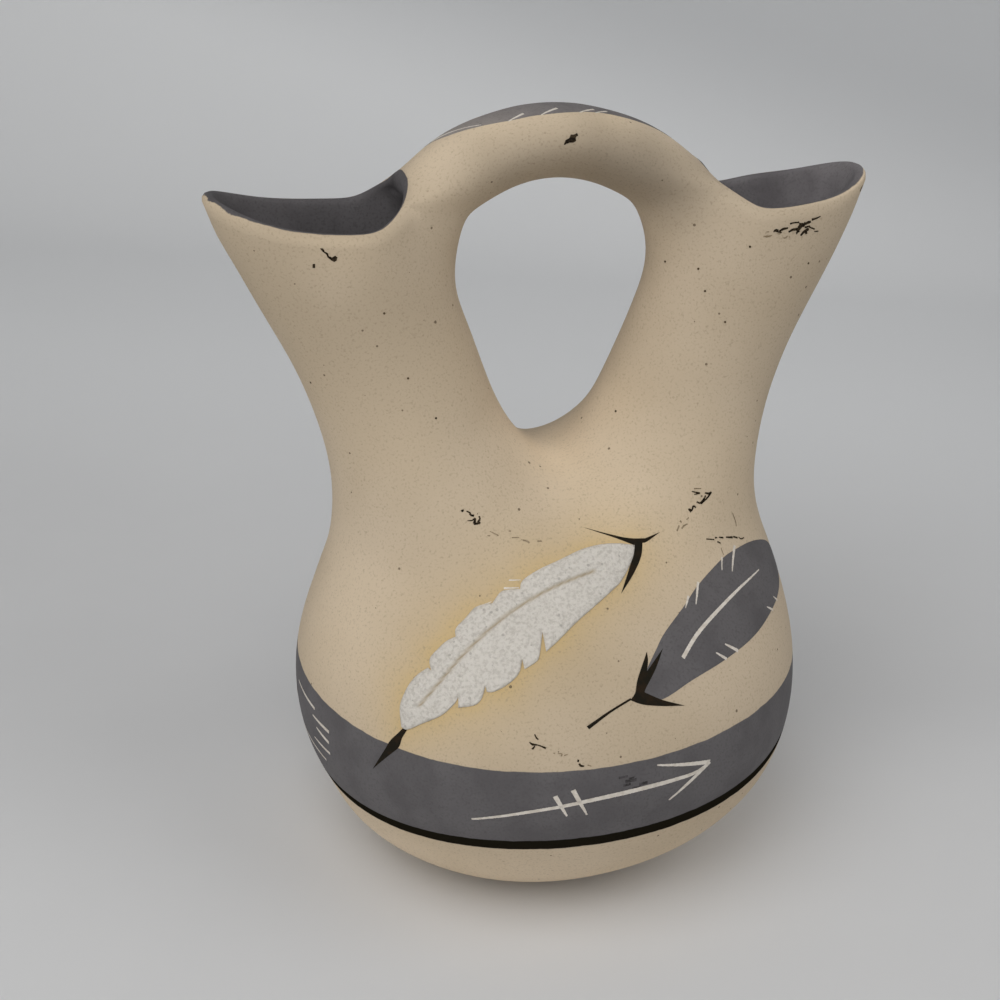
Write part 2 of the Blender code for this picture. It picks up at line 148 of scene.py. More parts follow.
# Stretches that are smoothed, or that belong to the handle and the mouths
ROOT_UP = (0.150, 0.170)
ROOT_OUT = (0.006, 0.016)
ROOT_EDGE = (0.042, 0.054)
HANDLE_LIP_DEPTH = (0.005, 0.0140)
HANDLE_LIP_EDGE = (0.040, 0.050)
MOUTHS_ABOVE = 0.15
INNER_ROOT_ABOVE = 0.155
INNER_ROOT_EDGE = 0.050

# Fineness
HALF_RING_POINTS = 13
SADDLE_POINTS = 3
CAGE_FIT_PASSES = 6
SKIN_LEVEL = 3
RIM_STEPS = 5
RIM_SOFTNESS = 0.6
RIM_FULLNESS = 0.62
RIM_SMOOTHING = 60
INSIDE_SMOOTHING = 80
CAP_RINGS = 5
ROOT_SMOOTHING = 14
SPOUT_LEVELS = ((0.16, 0.23), (0.34, 0.45), (0.53, 0.68), (0.75, 0.90))
HANDLE_SHARES = (1 / 3, 2 / 3, 1.0)
ROOT_SHARE = 0.38
BEAK_SHARPNESS = 0.95

COURSES = (
    ("base_slab", 0.0, FLOOR_THICKNESS, 2),
    ("lower_bowl", FLOOR_THICKNESS, BOWL_TOP, 3),
    ("belly_course", BOWL_TOP, BAND_TOP, 3),
    ("shoulder", BAND_TOP, SHOULDER_TOP, 3),
    ("fork", SHOULDER_TOP, SPLIT_HEIGHT, 1),
)
PARTS = ("base_slab", "lower_bowl", "belly_course", "shoulder", "fork", "spout", "handle")
MM = 0.001
UP = Vector((0.0, 0.0, 1.0))


def smooth_step(value, low, high):
    """0 below low, 1 above high, and smooth between them."""
    t = min(max((value - low) / (high - low), 0.0), 1.0)
    return t * t * (3 - 2 * t)


def hermite(at, start, end):
    """Height on a smooth curve from start to end, each a place, a value and a slope there."""
    (x0, y0, slope0), (x1, y1, slope1) = start, end
    span = x1 - x0
    t = (at - x0) / span
    return (
        (2 * t**3 - 3 * t**2 + 1) * y0
        + (t**3 - 2 * t**2 + t) * span * slope0
        + (3 * t**2 - 2 * t**3) * y1
        + (t**3 - t**2) * span * slope1
    )


def half_width(z):
    """Half width of the vase from spout to spout, from the foot to the spouts' tips."""
    foot = (0.0, FOOT_RADIUS, FOOT_FLARE)
    belly = (BELLY_HEIGHT, BELLY_RADIUS, 0.0)
    waist = (WAIST_HEIGHT, WAIST_HALF_WIDTH, 0.0)
    tip = (TIP_HEIGHT, TIP_REACH, TIP_FLARE)
    if z < BELLY_HEIGHT:
        under = max(1 - z / FOOT_ROUNDING_HEIGHT, 0.0)
        return hermite(z, foot, belly) - FOOT_ROUNDING * under * under
    if z < WAIST_HEIGHT:
        return hermite(z, belly, waist)
    return hermite(z, waist, tip)


def half_depth(z):
    """Half depth from front to back: round up to the band's top, then drawn in to the mouths."""
    if z <= BAND_TOP:
        return half_width(z)
    step = 1e-5
    slope = (half_width(BAND_TOP + step) - half_width(BAND_TOP - step)) / (2 * step)
    band = (BAND_TOP, half_width(BAND_TOP), slope)
    waist = (WAIST_HEIGHT, WAIST_HALF_DEPTH, NECK_TAPER)
    mouth = (MOUTH_DIP_HEIGHT, MOUTH_HALF_DEPTH, 0.0)
    if z < WAIST_HEIGHT:
        return hermite(z, band, waist)
    return hermite(min(z, MOUTH_DIP_HEIGHT), waist, mouth)


def bezier_point(knots, t):
    """Point at t, from 0 to 1, on the curve of a start, two handles and an end."""
    a, b, c, d = (Vector(k) for k in knots)
    u = 1 - t
    return a * u**3 + b * (3 * u * u * t) + c * (3 * u * t * t) + d * t**3


def hole_side(t):
    """Side of the opening as (x, z), from the crotch up to where the opening is widest."""
    crotch = (0.0, CROTCH_HEIGHT)
    widest = (HOLE_HALF_WIDTH, HOLE_WIDE_HEIGHT)
    out = (CROTCH_ROUNDING, CROTCH_HEIGHT)
    down = (HOLE_HALF_WIDTH, HOLE_WIDE_HEIGHT - HOLE_NARROWING)
    return bezier_point((crotch, out, down, widest), t)


def handle_underside(t):
    """Underside of the handle as (x, z), from the opening's widest place to the middle of the handle."""
    widest = (HOLE_HALF_WIDTH, HOLE_WIDE_HEIGHT)
    up = (HOLE_HALF_WIDTH, HOLE_WIDE_HEIGHT + HOLE_SHOULDER)
    out = (HANDLE_CROWN, HANDLE_UNDERSIDE)
    middle = (0.0, HANDLE_UNDERSIDE)
    return bezier_point((widest, up, out, middle), t)


def handle_back(t):
    """Top of the handle as (x, z), from the mouth's inner end to the middle of the handle."""
    end = (MOUTH_END_REACH, MOUTH_END_HEIGHT)
    rise = HANDLE_TOP - MOUTH_END_HEIGHT
    run, climb = HANDLE_RUN_OUT
    up = (MOUTH_END_REACH - run * rise, MOUTH_END_HEIGHT + climb * rise)
    out = (HANDLE_TOP_SHARE * MOUTH_END_REACH, HANDLE_TOP)
    middle = (0.0, HANDLE_TOP)
    return bezier_point((end, up, out, middle), t)


class Cage:
    """Right half of a coarse cage, open at x = 0, that a mirror and a subdivision turn into the skin."""

    def __init__(self):
        self.points = []
        self.faces = []
        self.parts = []

    def add(self, points):
        first = len(self.points)
        self.points += [Vector(p) for p in points]
        return list(range(first, len(self.points)))

    def skin(self, lower, upper, part, closed):
        """Quads of one part between two rows of points."""
        count = len(lower) if closed else len(lower) - 1
        for i in range(count):
            j = (i + 1) % len(lower)
            self.faces.append((lower[i], lower[j], upper[j], upper[i]))
            self.parts.append(PARTS.index(part))


def body_ring(z):
    """Half of the oval section at a height, from the front over the right side to the back."""
    angles = np.linspace(-math.pi / 2, math.pi / 2, HALF_RING_POINTS)
    a, b = half_width(z), half_depth(z)
    last = HALF_RING_POINTS - 1
    return [(a * math.cos(t) if 0 < i < last else 0.0, b * math.sin(t), z) for i, t in enumerate(angles)]


def spout_angles():
    """Angles round a spout's section, 0 at its outer side. The last ones face the opening."""
    count = HALF_RING_POINTS + SADDLE_POINTS
    step = 2 * math.pi / count
    first = -(HALF_RING_POINTS - 1) / 2 * step
    return [first + i * step for i in range(count)]


def saddle_row():
    """The ridge of the crotch on the plane x = 0, from back to front, without its ends."""
    depth = half_depth(SPLIT_HEIGHT)
    rise = CROTCH_HEIGHT - SPLIT_HEIGHT
    steps = [1 - 2 * (i + 1) / (SADDLE_POINTS + 1) for i in range(SADDLE_POINTS)]
    return [(0.0, depth * s, SPLIT_HEIGHT + rise * math.sqrt(1 - s * s)) for s in steps]


def spout_ring(outer_height, inner):
    """Section of the right spout from a height on its outer side to a point (x, z) at the opening."""
    outer = Vector((half_width(outer_height), outer_height))
    inner = Vector(inner)
    middle, half = (outer + inner) / 2, (outer - inner) / 2
    depth = half_depth(middle.y)
    return [
        (middle.x + half.x * math.cos(t), depth * math.sin(t), middle.y + half.y * math.cos(t))
        for t in spout_angles()
    ]


def rim_ring():
    """The spout's top: its rim, and the start of the handle's underside."""
    root = handle_underside(ROOT_SHARE)
    points = []
    for t in spout_angles()[:HALF_RING_POINTS]:
        across, along = math.sin(t), math.cos(t)
        if along >= 0:
            reach = MOUTH_DIP_REACH + (TIP_REACH - MOUTH_DIP_REACH) * along
            height = MOUTH_DIP_HEIGHT + (TIP_HEIGHT - MOUTH_DIP_HEIGHT) * along * along
            depth = MOUTH_HALF_DEPTH * math.copysign(abs(across) ** BEAK_SHARPNESS, across)
        else:
            back = -along / math.cos(math.pi / 4)
            reach = MOUTH_DIP_REACH + (MOUTH_END_REACH - MOUTH_DIP_REACH) * RIM_TURN_REACH * back
            climb = (MOUTH_END_HEIGHT - MOUTH_DIP_HEIGHT) * RIM_TURN_HEIGHT
            height = MOUTH_DIP_HEIGHT + climb * back**3
            corner = HANDLE_ROOT_HALF_DEPTH / math.sin(math.pi / 4)
            depth = across * (MOUTH_HALF_DEPTH + (corner - MOUTH_HALF_DEPTH) * back * back)
        points.append((reach, depth, height))
    shoulder = ROOT_SIDE * HANDLE_ROOT_HALF_DEPTH
    out, up = ROOT_LIFT
    lift = Vector((out * (MOUTH_END_REACH - root.x), up * (MOUTH_END_HEIGHT - root.y)))
    points += [
        (root.x + lift.x, shoulder, root.y + lift.y),
        (root.x, 0.0, root.y),
        (root.x + lift.x, -shoulder, root.y + lift.y),
    ]
    return points


def mouth_end():
    """The rim's inner end, from back to front, where the handle's top begins."""
    side = RIM_END_SIDE * HANDLE_ROOT_HALF_DEPTH
    drop = RIM_END_DROP * (MOUTH_END_HEIGHT - MOUTH_DIP_HEIGHT)
    return [
        (MOUTH_END_REACH, side, MOUTH_END_HEIGHT - drop),
        (MOUTH_END_REACH, 0.0, MOUTH_END_HEIGHT),
        (MOUTH_END_REACH, -side, MOUTH_END_HEIGHT - drop),
    ]


def handle_ring(share):
    """Oval section of the handle, some share of the way from the right spout to the middle."""
    low = handle_underside(ROOT_SHARE + (1 - ROOT_SHARE) * share)
    top = handle_back(share)
    middle, half = (top + low) / 2, (top - low) / 2
    depth = HANDLE_ROOT_HALF_DEPTH + (HANDLE_HALF_DEPTH - HANDLE_ROOT_HALF_DEPTH) * share
    taper = HANDLE_TAPER * share
    points = []
    for i in range(8):
        up, side = math.sin(i * math.pi / 4), math.cos(i * math.pi / 4)
        points.append((middle.x + half.x * up, depth * side * (1 + taper * up), middle.y + half.y * up))
    return points


def skin_cage():
    """The cage of the whole outside, with the points that the finished skin passes through."""
    cage = Cage()
    level = cage.add(body_ring(0.0))
    for part, low, high, steps in COURSES:
        for i in range(steps):
            upper = cage.add(body_ring(low + (high - low) * (i + 1) / steps))
            cage.skin(level, upper, part, closed=False)
            level = upper
    level = level + cage.add(saddle_row())
    for i, (share, at) in enumerate(SPOUT_LEVELS):
        height = SPLIT_HEIGHT + share * (TIP_HEIGHT - SPLIT_HEIGHT)
        upper = cage.add(spout_ring(height, hole_side(at)))
        cage.skin(level, upper, "fork" if i < 2 else "spout", closed=True)
        level = upper
    rim = cage.add(rim_ring())
    cage.skin(level, rim, "spout", closed=True)
    front, back = rim[0], rim[HALF_RING_POINTS - 1]
    facing = rim[HALF_RING_POINTS:]
    section = [back, *cage.add(mouth_end()), front, *reversed(facing)]
    for share in HANDLE_SHARES:
        upper = cage.add(handle_ring(share))
        cage.skin(section, upper, "handle", closed=True)
        section = upper
    return cage


def evaluated_mesh(obj):
    graph = bpy.context.evaluated_depsgraph_get()
    graph.update()
    return bpy.data.meshes.new_from_object(obj.evaluated_get(graph))


def leaning(point):
    """A point of the skin, moved by the vase's unevenness."""
    x, y, z = point
    reach = abs(x)
    foot = 1 - smooth_step(z, *FOOT_FADE)
    tip = smooth_step(reach, *TIP_OUT) * smooth_step(z, *TIP_UP)
    swell = smooth_step(z, *SWELL_UP) - smooth_step(z, *SWELL_FADE)
    opening = smooth_step(z, *OPENING_UP) - smooth_step(z, *OPENING_FADE)
    shift = -FOOT_LEAN * foot - TIP_LEAN * tip
    shift += SHOULDER_SWELL * swell * smooth_step(x, *SWELL_OUT)
    shift += OPENING_SHIFT * opening * (1 - smooth_step(reach, *OPENING_EDGE))
    flank = smooth_step(z, *FLANK_UP) - smooth_step(z, *FLANK_FADE)
    flank *= smooth_step(reach, *FLANK_OUT)
    shift += flank * (RIGHT_FLANK_SWELL if x > 0 else -LEFT_FLANK_SWELL)
    mouth = smooth_step(x, *MOUTH_OUT) * (1 - smooth_step(x, *MOUTH_EDGE))
    mouth *= smooth_step(z, *MOUTH_UP)
    across = min(max(-y / HANDLE_ROOT_HALF_DEPTH, -1.0), 1.0)
    behind = 1 - smooth_step(across, -1.0, 1.0)
    behind *= 1 - smooth_step(z, *BEHIND_FADE)
    share = RIGHT_MOUTH_FRONT_SHARE + (1 - RIGHT_MOUTH_FRONT_SHARE) * behind
    shift += RIGHT_MOUTH_SHIFT * mouth * share * (1 - smooth_step(z, *MOUTH_FADE))
    end = smooth_step(x, *END_OUT) * (1 - smooth_step(x, *END_EDGE))
    end *= smooth_step(z, *END_UP) * (1 - smooth_step(z, *END_FADE))
    shift += RIGHT_END_SHIFT * end
    lift = RIGHT_MOUTH_RISE * mouth * max(across, 0.0)
    lift += RIGHT_MOUTH_TILT * mouth * min(across, 0.0) * (1 - smooth_step(x, *TILT_EDGE))
    drop = TIP_DROP * tip if x > 0 else 0.0
    stretch = 1 + FOOT_OVAL * foot
    return Vector((x * stretch + shift, y / stretch, z + lift - drop))


def smooth_roots(bm):
    """Even out the skin where the handle grows out of the spouts, and the rims only along themselves."""
    shares = {}
    for vertex in bm.verts:
        reach = abs(vertex.co.x)
        share = smooth_step(vertex.co.z, *ROOT_UP) * smooth_step(reach, *ROOT_OUT)
        share *= 1 - smooth_step(reach, *ROOT_EDGE)
        if share > 0:
            shares[vertex] = share
    for _ in range(ROOT_SMOOTHING):
        moved = {}
        for vertex, share in shares.items():
            edges = vertex.link_edges
            if vertex.is_boundary:
                edges = [e for e in edges if e.is_boundary]
            others = [e.other_vert(vertex).co for e in edges]
            middle = sum(others, Vector()) / len(others)
            moved[vertex] = vertex.co.lerp(middle, 0.5 * share)
        for vertex, place in moved.items():
            vertex.co = place


def fitted_skin():
    """The smooth skin: the cage mirrored and subdivided, with its points moved until the skin meets them."""
    cage = skin_cage()
    mesh = bpy.data.meshes.new("skin_cage")
    mesh.from_pydata(cage.points, [], cage.faces)
    mesh.attributes.new("part", "INT", "FACE").data.foreach_set("value", cage.parts)
    obj = bpy.data.objects.new("skin_cage", mesh)
    bpy.context.scene.collection.objects.link(obj)
    mirror = obj.modifiers.new("both_sides", "MIRROR")
    mirror.merge_threshold = 1e-6
    smooth = obj.modifiers.new("smooth", "SUBSURF")
    smooth.levels = 1
    for _ in range(CAGE_FIT_PASSES):
        skin = evaluated_mesh(obj)
        for vertex, met, wanted in zip(mesh.vertices, skin.vertices, cage.points):
            vertex.co += wanted - met.co
        mesh.update()
    smooth.levels = SKIN_LEVEL
    skin = evaluated_mesh(obj)
    bpy.data.objects.remove(obj)
    for vertex in skin.vertices:
        vertex.co = leaning(vertex.co)
    bm = bmesh.new()
    bm.from_mesh(skin)
    smooth_roots(bm)
    face_outward(bm)
    bm.to_mesh(skin)
    bm.free()
    skin.update()
    return skin


def face_outward(bm):
    """Turn an open skin's faces outward, as the one that reaches furthest to the right shows."""
    bmesh.ops.recalc_face_normals(bm, faces=bm.faces)
    furthest = max(bm.faces, key=lambda f: f.calc_center_median().x)
    if furthest.normal.x < 0:
        bmesh.ops.reverse_faces(bm, faces=bm.faces)


def edge_loops(edges):
    """Groups of joined edges."""
    at_point = {}
    for edge in edges:
        for vertex in edge.verts:
            at_point.setdefault(vertex, []).append(edge)
    left = set(edges)
    loops = []
    while left:
        group, open_edges = set(), [left.pop()]
        while open_edges:
            edge = open_edges.pop()
            group.add(edge)
            for vertex in edge.verts:
                for other in at_point[vertex]:
                    if other in left:
                        left.discard(other)
                        open_edges.append(other)
        loops.append(group)
    return loops


def middle_of(edges):
    points = {v for e in edges for v in e.verts}
    return sum((v.co for v in points), Vector()) / len(points)


def rim_ways(bm, at_rim):
    """Direction in which the skin runs out over its edge, for each edge point that the test takes."""
    ways = {}
    for vertex in bm.verts:
        if vertex.is_boundary and at_rim(vertex):
            inward = [e.other_vert(vertex).co - vertex.co for e in vertex.link_edges if not e.is_boundary]
            total = sum((d.normalized() for d in inward), Vector())
            ways[vertex] = -total.normalized()
    return ways


def evened_out(vectors, edges):
    """Vectors at the points of the edges, smoothed along these edges."""
    beside = {}
    for edge in edges:
        a, b = edge.verts
        if a in vectors and b in vectors:
            beside.setdefault(a, []).append(b)
            beside.setdefault(b, []).append(a)
    for _ in range(RIM_SMOOTHING):
        smoother = {}
        for vertex, vector in vectors.items():
            others = [vectors[v] for v in beside.get(vertex, [])]
            smoother[vertex] = sum(others, vector * 2) / (2 + len(others))
        vectors = smoother
    return vectors


def at_mouth(vertex):
    return vertex.co.z > MOUTHS_ABOVE


def at_handle(vertex):
    """Share to which a rim's point lies on the handle, which runs down into the mouth without a lip."""
    across = 1 - smooth_step(abs(vertex.co.y), *HANDLE_LIP_DEPTH)
    return across * (1 - smooth_step(abs(vertex.co.x), *HANDLE_LIP_EDGE))


def cap(bm, edges, part):
    """Hidden faces that close a loop of edges, in rings round its middle."""
    middle = middle_of(edges)
    sides = [tuple(e.verts) for e in edges]
    outer = {v: v for side in sides for v in side}
    faces = []
    for ring in range(1, CAP_RINGS):
        inner = {v: bm.verts.new(middle.lerp(v.co, 1 - ring / CAP_RINGS)) for v in outer}
        faces += [bm.faces.new((outer[a], outer[b], inner[b], inner[a])) for a, b in sides]
        outer = inner
    centre = bm.verts.new(middle)
    faces += [bm.faces.new((outer[a], outer[b], centre)) for a, b in sides]
    for face in faces:
        face[bm.faces.layers.int["part"]] = PARTS.index(part)
        face[bm.faces.layers.int["seam"]] = 1


def skin_bmesh(skin):
    """The skin with layers for the shading normals, the depth inside the wall, and hidden faces."""
    bm = bmesh.new()
    bm.from_mesh(skin)
    shade = bm.verts.layers.float_vector.new("shade")
    bm.verts.layers.float.new("inside")
    bm.faces.layers.int.new("seam")
    bm.normal_update()
    for vertex in bm.verts:
        vertex[shade] = vertex.normal
    return bm


def of_part(bm, part):
    layer = bm.faces.layers.int["part"]
    return {f for f in bm.faces if f[layer] == PARTS.index(part)}


def root_loops(bm, faces):
    """Loops of edges where these faces leave the rest."""
    return edge_loops([e for e in bm.edges if sum(f in faces for f in e.link_faces) == 1])


def wall_thickness(z):
    rise = min(max((z - CROTCH_HEIGHT) / (MOUTH_DIP_HEIGHT - CROTCH_HEIGHT), 0.0), 1.0)
    return WALL + (RIM_WALL - WALL) * rise


def vessel_wall(skin):
    """The hollow wall from the slab up, without the handle, as thick as the clay and with round rims."""
    bm = skin_bmesh(skin)
    part = bm.faces.layers.int["part"]
    shade = bm.verts.layers.float_vector["shade"]
    inside = bm.verts.layers.float["inside"]
    outer_ways = rim_ways(bm, at_mouth)
    handle = of_part(bm, "handle")
    for root in root_loops(bm, handle):
        cap(bm, root, "spout")
    bmesh.ops.delete(bm, geom=list(handle | of_part(bm, "base_slab")), context="FACES")
    face_outward(bm)
    bm.normal_update()
    outer_points = list(bm.verts)
    outer_faces = list(bm.faces)
    rims = [e for e in bm.edges if e.is_boundary]
    inward = {}
    for vertex in outer_ways:
        below = Vector((math.copysign(MOUTH_END_LEAN, vertex.co.x), 0.0, -MOUTH_END_DROP))
        inward[vertex] = (vertex[shade] * -wall_thickness(vertex.co.z)).lerp(below, at_handle(vertex))
    inward = evened_out(inward, rims)
    outer_ways = evened_out(outer_ways, rims)
    twin = {}
    for vertex in outer_points:
        thickness = wall_thickness(vertex.co.z)
        copy = bm.verts.new(vertex.co + inward.get(vertex, vertex.normal * -thickness))
        copy[inside] = thickness / MM
        if vertex in inward:
            copy[inside] *= 1 + 2 * at_handle(vertex)
        twin[vertex] = copy
    for face in outer_faces:
        copy = bm.faces.new([twin[v] for v in reversed(face.verts)])
        copy[part] = face[part]
        copy.smooth = True
    strips = {}
    for vertex, way in outer_ways.items():
        share = at_handle(vertex)
        way = way.normalized()
        strips[vertex] = rim_strip(bm, vertex, twin[vertex], way, way.lerp(UP, share))
        vertex[shade] = (vertex[shade] + way * RIM_SOFTNESS * (1 - share)).normalized()
    for edge in rims:
        face = edge.link_faces[0]
        a, b = edge.verts
        rows = zip(strips.get(a, [a, twin[a]]), strips.get(b, [b, twin[b]]))
        lower = None
        for upper in rows:
            if lower:
                strip = bm.faces.new((lower[0], lower[1], upper[1], upper[0]))
                strip[part] = face[part]
                strip[bm.faces.layers.int["seam"]] = 0 if a in strips else 1
            lower = upper
    bmesh.ops.recalc_face_normals(bm, faces=bm.faces)
    smooth_inside(bm, outer_points, twin, strips)
    bm.normal_update()
    for vertex in set(bm.verts) - set(outer_points):
        vertex[shade] = vertex.normal
    return bm


def smooth_inside(bm, outer_points, twin, strips):
    """Even out the inner sheet behind the handle's roots."""
    near = []
    for vertex in outer_points:
        at_root = vertex.co.z > INNER_ROOT_ABOVE and abs(vertex.co.x) < INNER_ROOT_EDGE
        if at_root and vertex not in strips:
            near.append(twin[vertex])
    for _ in range(INSIDE_SMOOTHING):
        bmesh.ops.smooth_vert(bm, verts=near, factor=0.5, use_axis_x=True, use_axis_y=True, use_axis_z=True)


def rim_strip(bm, outer, inner, outer_way, inner_way):
    """Points of the rounded rim from the outer to the inner edge."""
    inside = bm.verts.layers.float["inside"]
    reach = RIM_FULLNESS * (outer.co - inner.co).length
    knots = (outer.co, outer.co + outer_way * reach, inner.co + inner_way * reach, inner.co)
    points = [outer]
    for i in range(1, RIM_STEPS):
        vertex = bm.verts.new(bezier_point(knots, i / RIM_STEPS))
        vertex[inside] = inner[inside] * i / RIM_STEPS
        points.append(vertex)
    return points + [inner]


def bridge(bm):
    """Close a piece of the wall along its seams."""
    before = set(bm.faces)
    loops = edge_loops([e for e in bm.edges if e.is_boundary])
    middles = [middle_of(loop) for loop in loops]
    while loops:
        first, middle = loops.pop(0), middles.pop(0)
        partner = min(range(len(loops)), key=lambda i: (middles[i] - middle).length)
        second = loops.pop(partner)
        middles.pop(partner)
        bmesh.ops.bridge_loops(bm, edges=[*first, *second])
    for face in set(bm.faces) - before:
        face[bm.faces.layers.int["seam"]] = 1


def finished(bm, name):
    """The mesh of a piece, shaded with the normals of the unparted skin."""
    bmesh.ops.recalc_face_normals(bm, faces=bm.faces)
    for face in bm.faces:
        face.smooth = True
    mesh = bpy.data.meshes.new(name)
    bm.to_mesh(mesh)
    bm.free()
    shade = [d.vector.copy() for d in mesh.attributes["shade"].data]
    hidden = [d.value for d in mesh.attributes["seam"].data]
    normals = [None] * len(mesh.loops)
    for polygon in mesh.polygons:
        for loop in polygon.loop_indices:
            own = shade[mesh.loops[loop].vertex_index]
            normals[loop] = polygon.normal if hidden[polygon.index] else own
    mesh.normals_split_custom_set(normals)
    for layer in ("shade", "seam", "part"):
        mesh.attributes.remove(mesh.attributes[layer])
    return mesh


def wall_piece(wall, name, part, side=0):
    """One part of the wall, closed along its seams. A side of 1 or -1 keeps only that half of the vase."""
    bm = wall.copy()
    keep = of_part(bm, part)
    others = [f for f in bm.faces if f not in keep or f.calc_center_median().x * side < 0]
    bmesh.ops.delete(bm, geom=others, context="FACES")
    bridge(bm)
    return finished(bm, name)


def skin_piece(skin, part):
    """One part of the skin, with hidden faces that close its ends."""
    bm = skin_bmesh(skin)
    keep = of_part(bm, part)
    bmesh.ops.delete(bm, geom=list(set(bm.faces) - keep), context="FACES")
    for loop in edge_loops([e for e in bm.edges if e.is_boundary]):
        cap(bm, loop, part)
    return finished(bm, part)


skin = fitted_skin()
skin_points = [v.co.copy() for v in skin.vertices]
skin_normals = [v.normal.copy() for v in skin.vertices]
skin_faces = [tuple(p.vertices) for p in skin.polygons]
skin_tree = BVHTree.FromPolygons(skin_points, skin_faces)

wall = vessel_wall(skin)
vessel_meshes = {
    "base_slab": skin_piece(skin, "base_slab"),
    "lower_bowl": wall_piece(wall, "lower_bowl", "lower_bowl"),
    "belly_course": wall_piece(wall, "belly_course", "belly_course"),
    "shoulder": wall_piece(wall, "shoulder", "shoulder"),
    "fork": wall_piece(wall, "fork", "fork"),
    "left_spout": wall_piece(wall, "left_spout", "spout", -1),
    "right_spout": wall_piece(wall, "right_spout", "spout", 1),
    "handle": skin_piece(skin, "handle"),
}
wall.free()


CLAY_GLOSS = 0.25


class Graph:
    """A material's node tree, with short ways to add what the slips need."""

    def __init__(self, name, roughness, gloss=CLAY_GLOSS):
        self.material = bpy.data.materials.new(name)
        self.material.use_nodes = True
        self.tree = self.material.node_tree
        self.shader = self.tree.nodes["Principled BSDF"]
        self.shader.inputs["Roughness"].default_value = roughness
        self.shader.inputs["Specular IOR Level"].default_value = gloss
        self.place = self.add("ShaderNodeTexCoord").outputs["Object"]

    def feed(self, socket, value):
        if isinstance(value, bpy.types.NodeSocket):
            self.tree.links.new(value, socket)
        else:
            socket.default_value = value

    def add(self, kind, inputs=None, **settings):
        node = self.tree.nodes.new(kind)
        for key, value in settings.items():
            setattr(node, key, value)
        for key, value in (inputs or {}).items():
            self.feed(node.inputs[key], value)
        return node

    def attribute(self, name):
        return self.add("ShaderNodeAttribute", attribute_name=name).outputs["Fac"]

    def noise(self, scale, detail=2.0, roughness=0.5):
        inputs = {"Vector": self.place, "Scale": scale, "Detail": detail, "Roughness": roughness}
        return self.add("ShaderNodeTexNoise", inputs).outputs["Fac"]

    def math(self, operation, a, b=0.0):
        return self.add("ShaderNodeMath", {0: a, 1: b}, operation=operation).outputs[0]

    def step(self, value, low, high):
        """0 below low, 1 above high, and smooth between them."""
        inputs = {"Value": value, "From Min": low, "From Max": high}
        return self.add("ShaderNodeMapRange", inputs, interpolation_type="SMOOTHSTEP").outputs["Result"]

    def mix(self, share, a, b):
        inputs = {0: share, 6: a, 7: b}
        return self.add("ShaderNodeMix", inputs, data_type="RGBA").outputs[2]

    def brighten(self, colour, share):
        """The colour made brighter by a share of itself, or darker where the share is below 0."""
        inputs = {0: colour, "Scale": self.math("ADD", share, 1.0)}
        return self.add("ShaderNodeVectorMath", inputs, operation="SCALE").outputs[0]

    def dots(self, scale, radius, share):
        """Small round dots in some share of the cells of a scatter."""
        inputs = {"Vector": self.place, "Scale": scale}
        cells = self.add("ShaderNodeTexVoronoi", inputs)
        colour = self.add("ShaderNodeSeparateColor", {"Color": cells.outputs["Color"]})
        size = self.math("MULTIPLY", colour.outputs["Green"], radius)
        near = self.math("LESS_THAN", cells.outputs["Distance"], size)
        chosen = self.math("LESS_THAN", colour.outputs["Red"], share)
        return self.math("MULTIPLY", near, chosen)

    def finish(self, colour, height=None, depth=0.0002, strength=0.3):
        self.feed(self.shader.inputs["Base Color"], colour)
        if height is not None:
            inputs = {"Height": height, "Distance": depth, "Strength": strength}
            bump = self.add("ShaderNodeBump", inputs)
            self.feed(self.shader.inputs["Normal"], bump.outputs["Normal"])
        return self.material


# Colours, then the gloss of dull paint and what the grey band adds to the clay's gloss
CREAM_PALE = (0.590, 0.482, 0.352, 1)
CREAM_DEEP = (0.545, 0.440, 0.312, 1)
OCHRE = (0.600, 0.440, 0.218, 1)
GREY_PALE = (0.118, 0.110, 0.113, 1)
GREY_DEEP = (0.090, 0.083, 0.086, 1)
GREY_GRIT = (0.075, 0.069, 0.070, 1)
BLACK = (0.013, 0.011, 0.007, 1)
BLACK_WORN = (0.024, 0.015, 0.008, 1)
PINHOLE = (0.110, 0.075, 0.045, 1)
GRIT = (0.330, 0.255, 0.170, 1)
SMUDGE = (0.040, 0.036, 0.036, 1)
BURNT = (0.012, 0.008, 0.005, 1)
BURNT_PALE = (0.050, 0.035, 0.020, 1)
FAINT_BROWN = (0.220, 0.165, 0.100, 1)
THIN_GREY = (0.200, 0.184, 0.180, 1)
THIN_GREY_DEEP = (0.150, 0.138, 0.136, 1)
WASH_GREY = (0.330, 0.295, 0.270, 1)
SCRATCH_PALE = (0.740, 0.685, 0.615, 1)
SCRATCH_DEEP = (0.620, 0.560, 0.485, 1)
WHITE_PALE = (0.700, 0.662, 0.603, 1)
WHITE_DEEP = (0.560, 0.522, 0.468, 1)
WHITE_SPECK = (0.300, 0.272, 0.242, 1)
# Tan of the groove, partly the clay's colour and partly painted shade
GROOVE_TAN_AND_SHADE = (0.400, 0.310, 0.185, 1)
DULL_GLOSS = 0.08
GREY_SHEEN = 0.35


def grey_slip(g):
    """Mottled grey of the band, the mouths and the painted feathers."""
    grey = g.mix(g.step(g.noise(90, 4), 0.35, 0.7), GREY_PALE, GREY_DEEP)
    return g.mix(g.math("MULTIPLY", g.step(g.noise(1500, 2), 0.45, 0.75), 0.6), grey, GREY_GRIT)


